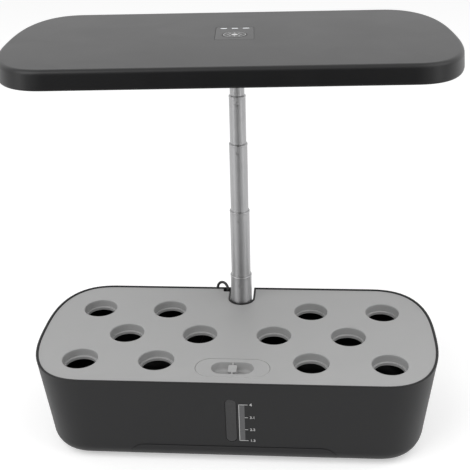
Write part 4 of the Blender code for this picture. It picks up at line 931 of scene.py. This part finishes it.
pole_steel = brushed("ground_stainless_steel", "#a6a6a7", "#bcbcbd", (0.40, 0.48), 5200.0, 0.85)
for number, (outer, low, top, dimple_z, body) in enumerate(
    zip(tube_walls, tube_lows, tube_tops, dimple_heights, bodies), 1
):
    inner = outer - 0.0007
    seat = inner - (0.00035 if number < 5 else 0.0)
    profile = [(outer, low + 0.0002), (outer, low + 0.0120)]
    if number < 5:
        profile += [(outer, dimple_z - 0.0040 + 0.0002 * k) for k in range(41)]
    profile += [
        (outer, top - 0.0021), (outer + 0.00008, top - 0.0019), (outer + 0.00022, top - 0.0016),
        (outer + 0.00028, top - 0.0011),
        (outer + 0.00024, top - 0.0006), (outer + 0.00010, top - 0.0002), (outer - 0.00012, top),
        (seat + 0.00018, top), (seat, top - 0.00012), (seat, top - 0.0013), (inner, top - 0.0016),
        (inner, (low + top) / 2), (inner, low + 0.0001), (inner + 0.0001, low), (outer - 0.0002, low),
        (outer, low + 0.0002),
    ]
    tube = lathe(f"pole_stage_{number}", profile, 128, closed=True)
    alone(tube)
    bpy.ops.object.mode_set(mode="EDIT")
    if number < 5:
        for turn in (-90.0,):
            spot = Vector(
                (outer * math.cos(math.radians(turn)), outer * math.sin(math.radians(turn)), dimple_z)
            )
            pick(
                tube, "verts",
                lambda p, way: (p - spot).length < 0.00135 and math.hypot(p.x, p.y) > outer - 0.0001
            )
            bpy.ops.transform.translate(value=(-0.00026 * math.cos(math.radians(turn)), -0.00026 * math.sin(math.radians(turn)), 0.0),
                                        use_proportional_edit=True, proportional_edit_falloff="SMOOTH",
                                        proportional_size=0.0009)
    bpy.ops.object.mode_set(mode="OBJECT")
    tube.location = (0.0, pole_y, 0.0)
    dressed(tube, pole_steel, body, f"pole_tube_{number}", angle=50.0)

nylon = grained("moulded_black_nylon", "#161617", "#202021", 0.0008, 0.00002, (0.42, 0.55), 1.53)
for number in range(2, 6):
    outer, low, body = tube_walls[number - 1], tube_lows[number - 1], bodies[number - 1]
    bore = tube_walls[number - 2] - 0.0007
    neck = outer - 0.0007 - 0.0001
    wide = bore - 0.00008
    bush = lathe(f"guide_bush_{number}", [
        (wide - 0.0004, low - 0.0025), (wide, low - 0.0021), (wide, low - 0.0007),
        (wide - 0.0003, low - 0.0003), (neck, low - 0.0003),
        (neck, low + 0.0026), (neck - 0.0004, low + 0.0030), (neck - 0.0012, low + 0.0030),
        (neck - 0.0012, low - 0.0022), (neck - 0.0009, low - 0.0025), (wide - 0.0004, low - 0.0025),
    ], 72, closed=True)
    bush.location = (0.0, pole_y, 0.0)
    dressed(bush, nylon, body, f"pole_bush_{number}")


# Foot of the pole: a black nylon block in the tank's channel with a spigot for the
# first tube and a wire way down its middle; two screws clamp it to the floor.
block = channel_block("pole_foot_block", 0.0121, 0.0056, 0.0203, 0.0790)
alone(block)
bpy.ops.object.mode_set(mode="EDIT")
pick(block, "edges", lambda p, way: abs(p.z - 0.0203) < 0.00001 or (p.y > 0.0789 and abs(way.z) > 0.01))
bpy.ops.mesh.bevel(offset=0.0007, segments=3)
bpy.ops.object.mode_set(mode="OBJECT")
spigot = lathe("foot_spigot", [(0.0102, 0.0193), (0.0102, 0.0293), (0.0099, 0.0299), (0.0092, 0.0303)], 72)
spigot.location = (0.0, pole_y, 0.0)
alone(spigot)
bpy.ops.object.transform_apply(location=True, rotation=True, scale=True)
carve(block, spigot, "UNION")
for x, y, z, radius, depth, turned in (
    (0.0, pole_y, 0.0250, 0.0040, 0.0140, 0.0), (-0.0060, 0.0762, 0.0126, 0.0040, 0.0140, 90.0),
    (0.0060, 0.0762, 0.0126, 0.0040, 0.0140, 90.0),
    (-0.0050, 0.0615, 0.0080, 0.0008, 0.0080, 0.0), (0.0050, 0.0615, 0.0080, 0.0008, 0.0080, 0.0),
):
    bpy.ops.object.select_all(action="DESELECT")
    bpy.ops.mesh.primitive_cylinder_add(
        vertices=40, radius=radius, depth=depth, location=(x, y, z),
        rotation=(math.radians(turned), 0.0, 0.0)
    )
    drill = opened("foot_drill")
    alone(drill)
    carve(block, drill)
dressed(block, nylon, "tank", "pole_socket")

# The block's two sockets, turned barrels with a centre pin and a plated collar.
nickel = brushed("plated_nickel", "#a8a6a2", "#c9c7c2", (0.16, 0.28), 900.0)
for name, side in (("dc_inlet", 1), ("pump_jack", -1)):
    barrel = lathe(f"{name}_barrel", [
        (0.0034, -0.0095), (0.0038, -0.0091), (0.0038, -0.0010), (0.0037, -0.0006), (0.0035, 0.0),
        (0.0030, 0.0), (0.0028, -0.0002), (0.0028, -0.0080),
        (0.0014, -0.0082), (0.0010, -0.0080), (0.0010, -0.0012), (0.0007, -0.0006), (0.0002, -0.0005),
    ], 48)
    barrel.rotation_euler = (math.radians(-90), 0.0, 0.0)
    barrel.location = (side * 0.0060, 0.0790, 0.0126)
    dressed(barrel, nickel if side > 0 else lead_pvc, "tank", name)

# Cross-recessed screws of zinc-plated steel.
zinc = brushed("zinc_plated_steel", "#8f9092", "#b7b8ba", (0.24, 0.38), 700.0)
for number, x in ((1, -0.0050), (2, 0.0050)):
    screw = lathe(f"foot_screw_{number}", [
        (0.0016, 0.0011), (0.0024, 0.0012), (0.0028, 0.0016), (0.0028, 0.0027), (0.0026, 0.0029),
        (0.0012, 0.0029), (0.0012, 0.0106), (0.0007, 0.0111),
    ], 40)
    for across in ((0.0036, 0.0007, 0.0016), (0.0007, 0.0036, 0.0016)):
        bpy.ops.object.select_all(action="DESELECT")
        bpy.ops.mesh.primitive_cube_add(size=1.0, location=(0.0, 0.0, 0.0013), scale=across)
        blade = opened("cross_recess")
        alone(blade)
        carve(screw, blade)
    screw.location = (x, 0.0615, 0.0)
    dressed(screw, zinc, "tank", f"socket_screw_{number}")


# Pump: a small submersible pump in black ABS on four suction cups, with a slotted
# intake cover, a barbed outlet and the impeller behind the cover.
def rounded_box(name, low, high, edge, steps=3):
    """A box between two corners with every edge rounded."""
    bpy.ops.object.select_all(action="DESELECT")
    middle = [(a + b) / 2 for a, b in zip(low, high)]
    bpy.ops.mesh.primitive_cube_add(size=1.0, location=middle, scale=[b - a for a, b in zip(low, high)])
    piece = opened(name)
    bpy.ops.mesh.select_all(action="SELECT")
    bpy.ops.mesh.bevel(offset=edge, segments=steps)
    bpy.ops.object.mode_set(mode="OBJECT")
    return piece


pump_x, pump_y = -0.0500, 0.0460
pump = rounded_box(
    "pump_body", (pump_x - 0.0160, pump_y - 0.0150, 0.0080), (pump_x + 0.0160, pump_y + 0.0150, 0.0350),
    0.0025, 4
)
outlet = lathe("pump_outlet", [
    (0.0046, 0.0340), (0.0046, 0.0352), (0.0035, 0.0364), (0.0035, 0.0374), (0.0040, 0.0378),
    (0.0034, 0.0396), (0.0039, 0.0400), (0.0033, 0.0418),
    (0.0036, 0.0421), (0.0030, 0.0430), (0.0022, 0.0430), (0.0020, 0.0424), (0.0020, 0.0330),
], 40)
outlet.location = (pump_x, 0.0345, 0.0)
gland = lathe("pump_gland", [
    (0.0040, -0.0010), (0.0040, 0.0004), (0.0033, 0.0010), (0.0030, 0.0016), (0.0030, 0.0019),
    (0.0027, 0.0021), (0.0027, 0.0025), (0.0029, 0.0027), (0.0028, 0.0037), (0.0022, 0.0040),
], 40)
gland.rotation_euler = (math.radians(-90), 0.0, 0.0)
gland.location = (pump_x, 0.0610, 0.0275)
for part in (outlet, gland):
    alone(part)
    bpy.ops.object.transform_apply(location=True, rotation=True, scale=True)
    carve(pump, part, "UNION")
for radius, front, rear, height in ((0.0108, 0.0200, 0.0372, 0.0215), (0.0072, 0.0300, 0.0532, 0.0215)):
    bpy.ops.object.select_all(action="DESELECT")
    bpy.ops.mesh.primitive_cylinder_add(
        vertices=64, radius=radius, depth=rear - front, location=(pump_x, (front + rear) / 2, height),
        rotation=(math.radians(90), 0.0, 0.0)
    )
    chamber = opened("pump_chamber")
    alone(chamber)
    carve(pump, chamber)
dressed(pump, nylon, "tank", "pump_housing")

cover = rounded_box(
    "intake_cover", (pump_x - 0.01475, 0.0287, 0.00925), (pump_x + 0.01475, 0.0307, 0.03375), 0.0006, 3
)
for share in (-2, -1, 1, 2):
    slot = rounded_block("intake_slot", 0.0016, 0.0130, 0.0008, -0.0040, 0.0040, 6)
    alone(slot)
    slot.rotation_euler = (math.radians(90), 0.0, 0.0)
    slot.location = (pump_x + share * 0.0034, 0.0297, 0.0215)
    bpy.ops.object.transform_apply(location=True, rotation=True, scale=True)
    carve(cover, slot)
dressed(cover, nylon, "tank", "pump_cover")
for number, (side_x, side_y) in enumerate(((-1, -1), (1, -1), (-1, 1), (1, 1)), 1):
    cup = lathe(f"suction_cup_{number}", [
        (0.0030, 0.0046), (0.0040, 0.0041), (0.0048, 0.0037), (0.0050, 0.0038), (0.0046, 0.0046),
        (0.0034, 0.0054), (0.0022, 0.0060), (0.0018, 0.0068), (0.0018, 0.0077),
    ], 40)
    low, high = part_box(f"pump_cup_{number}")
    cup.location = ((low.x + high.x) / 2, (low.y + high.y) / 2, 0.0)
    dressed(cup, rubber, "tank", f"pump_cup_{number}")


# Lamp hood: a shallow satin black ABS cover with a soft edge, a tray that closes it
# from below round the LED board, and a socket that takes the pole's last tube.
hood_frame = Matrix.Translation((0.0, pole_y, 0.0)) @ Matrix.Rotation(math.radians(3.5), 4, "Z")
hood_mid = (-0.0033, -0.06913)
hood_plan = (0.19625, 0.10735, 0.0539, 0.10735)
hood_top, hood_low = 0.4000, 0.3840
hood_steps = 22


def hood_layer(name, inset, low, high):
    """A flat layer of the hood's outline at one inset, left in edit mode."""
    half_w, half_d, corner = hood_plan[0] - inset, hood_plan[1] - inset, hood_plan[2] - inset
    return rounded_block(
        name, 2 * half_w, 2 * half_d, corner, low, high, hood_steps, 2.51, half_d / corner, hood_mid
    )


def bored(piece, places, radius, low, high, how="DIFFERENCE", steps=40):
    """Drills, or adds, an upright round pin at each place."""
    for x, y in places:
        bpy.ops.object.select_all(action="DESELECT")
        bpy.ops.mesh.primitive_cylinder_add(
            vertices=steps, radius=radius, depth=high - low, location=(x, y, (low + high) / 2)
        )
        pin = opened("pin")
        alone(pin)
        carve(piece, pin, how)


cover = hood_layer("hood_cover", 0.0050, hood_top - 0.00002, hood_top)
pick(cover, "faces", lambda p, way: way.z < -0.9)
sections = [(0.0050, hood_top - 0.00002)]
for step in range(1, 11):
    turn = math.pi / 2 * step / 10
    sections.append(
        (0.0010 + 0.0040 * (1 - math.sin(turn)), hood_top - 0.0040 * (1 - math.cos(turn)) - 0.00002)
    )
sections += [
    (0.0, hood_low + 0.0020), (0.0001, hood_low + 0.0008), (0.0004, hood_low + 0.0002), (0.0010, hood_low)
]
drawn(cover, hood_plan, sections, hood_mid)
bpy.ops.object.mode_set(mode="OBJECT")
inside = hood_layer("hood_inside", 0.0022, hood_low - 0.0040, hood_low)
pick(inside, "faces", lambda p, way: way.z > 0.9)
drawn(inside, hood_plan, [(0.0022, hood_low), (0.0032, 0.3960), (0.0042, 0.3974), (0.0062, 0.3978)], hood_mid)
bpy.ops.object.mode_set(mode="OBJECT")
carve(cover, inside)
screw_spots = [(hood_mid[0] + side * 0.1860, hood_mid[1]) for side in (-1, 1)]
screw_spots += [
    (hood_mid[0] + side_x * 0.1150, hood_mid[1] + side_y * 0.1001) for side_x in (-1, 1)
    for side_y in (-1, 1)
]
bored(cover, screw_spots, 0.0035, 0.3875, 0.3985, "UNION")
bored(cover, screw_spots, 0.0010, 0.3800, 0.3940)
panel_mid, key_mid = (0.0, -0.0577), (0.0, -0.0637)
recess = rounded_block(
    "panel_seat", 0.0346, 0.0496, 0.0033, hood_top - 0.0012, hood_top + 0.0020, 8, centre=panel_mid
)
alone(recess)
carve(cover, recess)
bored(cover, [key_mid], 0.0028, 0.3900, 0.4100)
lens_spots = [(x, -0.0382) for x in (-0.0100, 0.0, 0.0100)]
for x, y in lens_spots:
    way = rounded_block("lens_way", 0.0066, 0.0026, 0.0005, 0.3900, 0.4050, 4, centre=(x, y))
    alone(way)
    carve(cover, way)
hood_abs = grained("satin_black_abs", "#121213", "#171718", 0.0009, 0.00002, (0.36, 0.40), 1.39)
cover.matrix_world = hood_frame
dressed(cover, hood_abs, "hood", "hood_shell")

tray_plan_inset = 0.0025
tray = hood_layer("hood_tray_plate", tray_plan_inset, 0.3852, 0.3872)
pick(tray, "edges", lambda p, way: p.z < 0.3853 and abs(way.z) < 0.000005)
bpy.ops.mesh.bevel(offset=0.0003, segments=2)
bpy.ops.object.mode_set(mode="OBJECT")
lamp_mid = (hood_mid[0], -0.09313)
mouth = rounded_block("lamp_mouth", 0.3400, 0.1360, 0.0300, 0.3800, 0.3900, 16, centre=lamp_mid)
alone(mouth)
carve(tray, mouth)
alone(tray)
bpy.ops.object.mode_set(mode="EDIT")
pick(
    tray, "edges",
    lambda p, way: p.z < 0.38521 and abs(way.z) < 0.000005 and abs(
        p.x - lamp_mid[0]
    ) < 0.1701 and abs(p.y - lamp_mid[1]) < 0.0681
)
bpy.ops.mesh.bevel(offset=0.0012, segments=3)
bpy.ops.object.mode_set(mode="OBJECT")
bored(tray, [(0.0, 0.0)], 0.0128, 0.3800, 0.3900, steps=72)
bored(tray, screw_spots, 0.0015, 0.3800, 0.3900)
tray.matrix_world = hood_frame
dressed(tray, hood_abs, "hood", "hood_tray")
for number in range(1, 7):
    low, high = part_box(f"hood_screw_{number}")
    radius, length = (high.x - low.x) / 2, high.z - low.z
    screw = lathe(f"tray_screw_{number}", [
        (radius * 0.62, 0.0), (radius * 0.9, 0.00012), (radius, 0.0005), (radius, 0.0010), (0.0012, 0.0010),
        (0.0012, length - 0.0006), (0.0006, length),
    ], 36)
    for across in ((0.0030, 0.0006, 0.0012), (0.0006, 0.0030, 0.0012)):
        bpy.ops.object.select_all(action="DESELECT")
        bpy.ops.mesh.primitive_cube_add(size=1.0, location=(0.0, 0.0, 0.0), scale=across)
        blade = opened("cross_recess")
        alone(blade)
        carve(screw, blade)
    screw.location = ((low.x + high.x) / 2, (low.y + high.y) / 2, low.z)
    dressed(screw, zinc, "hood", f"hood_screw_{number}")

collar = lathe("pole_collar", [
    (0.0115, 0.3800), (0.0122, 0.3803), (0.0125, 0.3810), (0.0125, 0.3875), (0.0173, 0.3875),
    (0.0175, 0.3877), (0.0175, 0.3896), (0.0172, 0.3899),
    (0.0130, 0.3899), (0.0125, 0.3904), (0.0125, 0.3973), (0.0122, 0.3975), (0.0035, 0.3975),
    (0.0035, 0.3945), (0.00732, 0.3943), (0.00732, 0.3808), (0.0077, 0.3801), (0.0082, 0.3800),
    (0.0115, 0.3800),
], 96, closed=True)
collar.matrix_world = hood_frame
dressed(collar, nylon, "hood", "hood_socket")


# LED board: an aluminium-cored board with a white mask and 36 white LEDs on its
# lower face, each a small white package with a yellow phosphor window.
board = rounded_block("led_panel", 0.3460, 0.1420, 0.0330, 0.3875, 0.3891, 16, centre=lamp_mid)
bpy.ops.object.mode_set(mode="OBJECT")
packages = []
for row in range(4):
    for col in range(9):
        x, y = lamp_mid[0] + (col - 4) * 0.0370, lamp_mid[1] + (row - 1.5) * 0.0310
        shell = rounded_box(
            "led_package", (x - 0.00175, y - 0.0014, 0.3868), (x + 0.00175, y + 0.0014, 0.3875), 0.00012, 1
        )
        packages.append(shell)
alone(packages[0])
for shell in packages[1:]:
    shell.select_set(True)
bpy.ops.object.join()
chips = packages[0]
chips.name = chips.data.name = "led_packages"
bpy.ops.object.mode_set(mode="EDIT")
pick(chips, "faces", lambda p, way: way.z < -0.99)
bpy.ops.mesh.inset(thickness=0.0003, use_individual=True)
bpy.ops.mesh.inset(thickness=0.00008, depth=-0.00012, use_individual=True)
bpy.ops.object.mode_set(mode="OBJECT")
mask = bpy.data.materials.new("white_solder_mask")
mask.use_nodes = True
tree = mask.node_tree
shader = tree.nodes["Principled BSDF"]
place = add(tree, "ShaderNodeTexCoord")
coat = add(tree, "ShaderNodeTexNoise", {"Vector": place.outputs["Object"], "Scale": 300.0, "Detail": 3.0})
tone = add(
    tree, "ShaderNodeMix", {"Factor": coat.outputs["Fac"], "A": linear("#d5d6d2"), "B": linear("#e6e6e2")},
    data_type="RGBA"
)
tree.links.new(tone.outputs["Result"], shader.inputs["Base Color"])
skin = add(tree, "ShaderNodeBump", {"Height": coat.outputs["Fac"], "Strength": 0.4, "Distance": 0.00002})
tree.links.new(skin.outputs["Normal"], shader.inputs["Normal"])
shader.inputs["Roughness"].default_value = 0.42
phosphor = bpy.data.materials.new("yellow_phosphor_resin")
phosphor.use_nodes = True
tree = phosphor.node_tree
shader = tree.nodes["Principled BSDF"]
place = add(tree, "ShaderNodeTexCoord")
grains = add(tree, "ShaderNodeTexVoronoi", {"Vector": place.outputs["Object"], "Scale": 6000.0})
tone = add(
    tree, "ShaderNodeMix",
    {"Factor": grains.outputs["Distance"], "A": linear("#d9b53c"), "B": linear("#e8cf6a")}, data_type="RGBA"
)
tree.links.new(tone.outputs["Result"], shader.inputs["Base Color"])
shader.inputs["Roughness"].default_value = 0.30
chips.data.materials.append(mask)
chips.data.materials.append(phosphor)
for face in chips.data.polygons:
    face.material_index = 1 if face.normal.z < -0.99 and face.center.z > 0.38685 else 0
board.data.materials.append(mask)
alone(board)
chips.select_set(True)
bpy.ops.object.join()
board.matrix_world = hood_frame
bpy.ops.object.transform_apply(location=True, rotation=True, scale=True)
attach(board, "hood")
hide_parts("led_board")


# Control panel: a glossy black acrylic plate let in flush, with a round touch key and
# three bright indicator windows behind it; the key moves down onto its switch.
plate = rounded_block("panel_plate", 0.0340, 0.0490, 0.0030, hood_top - 0.0009, hood_top, 8, centre=panel_mid)
bpy.ops.object.mode_set(mode="OBJECT")
bored(plate, [key_mid], 0.0111, 0.3900, 0.4100, steps=128)
for x, y in lens_spots:
    way = rounded_block("lens_way", 0.0064, 0.0024, 0.0012, 0.3900, 0.4050, 6, centre=(x, y))
    alone(way)
    carve(plate, way)
alone(plate)
bpy.ops.object.mode_set(mode="EDIT")
pick(plate, "edges", lambda p, way: abs(p.z - hood_top) < 0.000005 and abs(way.z) < 0.000005)
bpy.ops.mesh.bevel(offset=0.00015, segments=2)
bpy.ops.object.mode_set(mode="OBJECT")
gloss_acrylic = grained("glossy_black_acrylic", "#0e0e0f", "#131314", 0.0030, 0.000004, (0.30, 0.35), 1.36)
plate.matrix_world = hood_frame
dressed(plate, gloss_acrylic, "hood", "control_panel")

key = lathe("mode_key", [
    (0.0060, 0.4001), (0.0104, 0.4001), (0.0107, 0.40003), (0.0108, 0.39985), (0.0108, 0.3995),
    (0.0024, 0.3995), (0.0022, 0.3993), (0.0022, 0.3962), (0.0011, 0.3961), (0.0011, 0.3954),
], 128)
key.matrix_world = hood_frame @ Matrix.Translation((key_mid[0], key_mid[1], 0.0))
dressed(key, gloss_acrylic, "key", "mode_button")

# The key's light sign, in white ink: a lamp's disc, eight rays and an outer ring.
sign = []
key_top = 0.40011
for outer, inner in ((0.0098, 0.0094), (0.0028, 0.0)):
    ring_ink = lathe(
        "sign_ring",
        [
            (inner, key_top), (outer, key_top), (outer, key_top - 0.00006), (inner, key_top - 0.00006),
            (inner, key_top)
        ] if inner else [(0.0004, key_top), (outer, key_top), (outer, key_top - 0.00006)],
        96, closed=bool(inner)
    )
    sign.append(ring_ink)
for ray in range(8):
    bar = rounded_block(
        "sign_ray", 0.0009, 0.0022, 0.0003, key_top - 0.00006, key_top, 3, centre=(0.0, 0.0056)
    )
    alone(bar)
    bar.rotation_euler = (0.0, 0.0, math.tau * ray / 8)
    bpy.ops.object.transform_apply(location=True, rotation=True, scale=True)
    sign.append(bar)
alone(sign[0])
for part in sign[1:]:
    part.select_set(True)
bpy.ops.object.join()
sign = sign[0]
sign.name = sign.data.name = "light_sign"
sign.matrix_world = hood_frame @ Matrix.Translation((key_mid[0], key_mid[1], 0.0))
dressed(sign, inks["white_screen_ink"], "key", even=False)

# Indicator windows: clear resin light pipes, lit from behind.
glow_resin = bpy.data.materials.new("lit_clear_resin")
glow_resin.use_nodes = True
tree = glow_resin.node_tree
shader = tree.nodes["Principled BSDF"]
place = add(tree, "ShaderNodeTexCoord")
milk = add(tree, "ShaderNodeTexNoise", {"Vector": place.outputs["Object"], "Scale": 500.0, "Detail": 2.0})
tone = add(
    tree, "ShaderNodeMix", {"Factor": milk.outputs["Fac"], "A": linear("#d8dce0"), "B": linear("#f2f4f6")},
    data_type="RGBA"
)
tree.links.new(tone.outputs["Result"], shader.inputs["Base Color"])
tree.links.new(tone.outputs["Result"], shader.inputs["Emission Color"])
shader.inputs["Emission Strength"].default_value = 0.35
shader.inputs["Roughness"].default_value = 0.25
for number, (x, y) in enumerate(lens_spots, 1):
    pipe = rounded_block(
        f"light_pipe_{number}", 0.0060, 0.0020, 0.00099, hood_top - 0.0030, hood_top, 8, centre=(x, y)
    )
    pick(pipe, "edges", lambda p, way: abs(p.z - hood_top) < 0.000005)
    bpy.ops.mesh.bevel(offset=0.0002, segments=2)
    bpy.ops.object.mode_set(mode="OBJECT")
    pipe.matrix_world = hood_frame
    dressed(pipe, glow_resin, "hood", f"indicator_lens_{number}")

# What stays as the CAD gives it, hidden behind covers, has its own real finish.
epoxy = grained("green_solder_mask", "#1d4a33", "#27573d", 0.0020, 0.00001, (0.28, 0.40), 1.52)
white_nylon = grained("moulded_white_acetal", "#b9b8b2", "#cdccc6", 0.0016, 0.00001, (0.38, 0.50), 1.48)
for name, finish in (
    ("driver_board", epoxy), ("tact_switch", nylon), ("pump_shaft", zinc), ("pump_impeller", white_nylon)
):
    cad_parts[name].data.materials.clear()
    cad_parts[name].data.materials.append(finish)
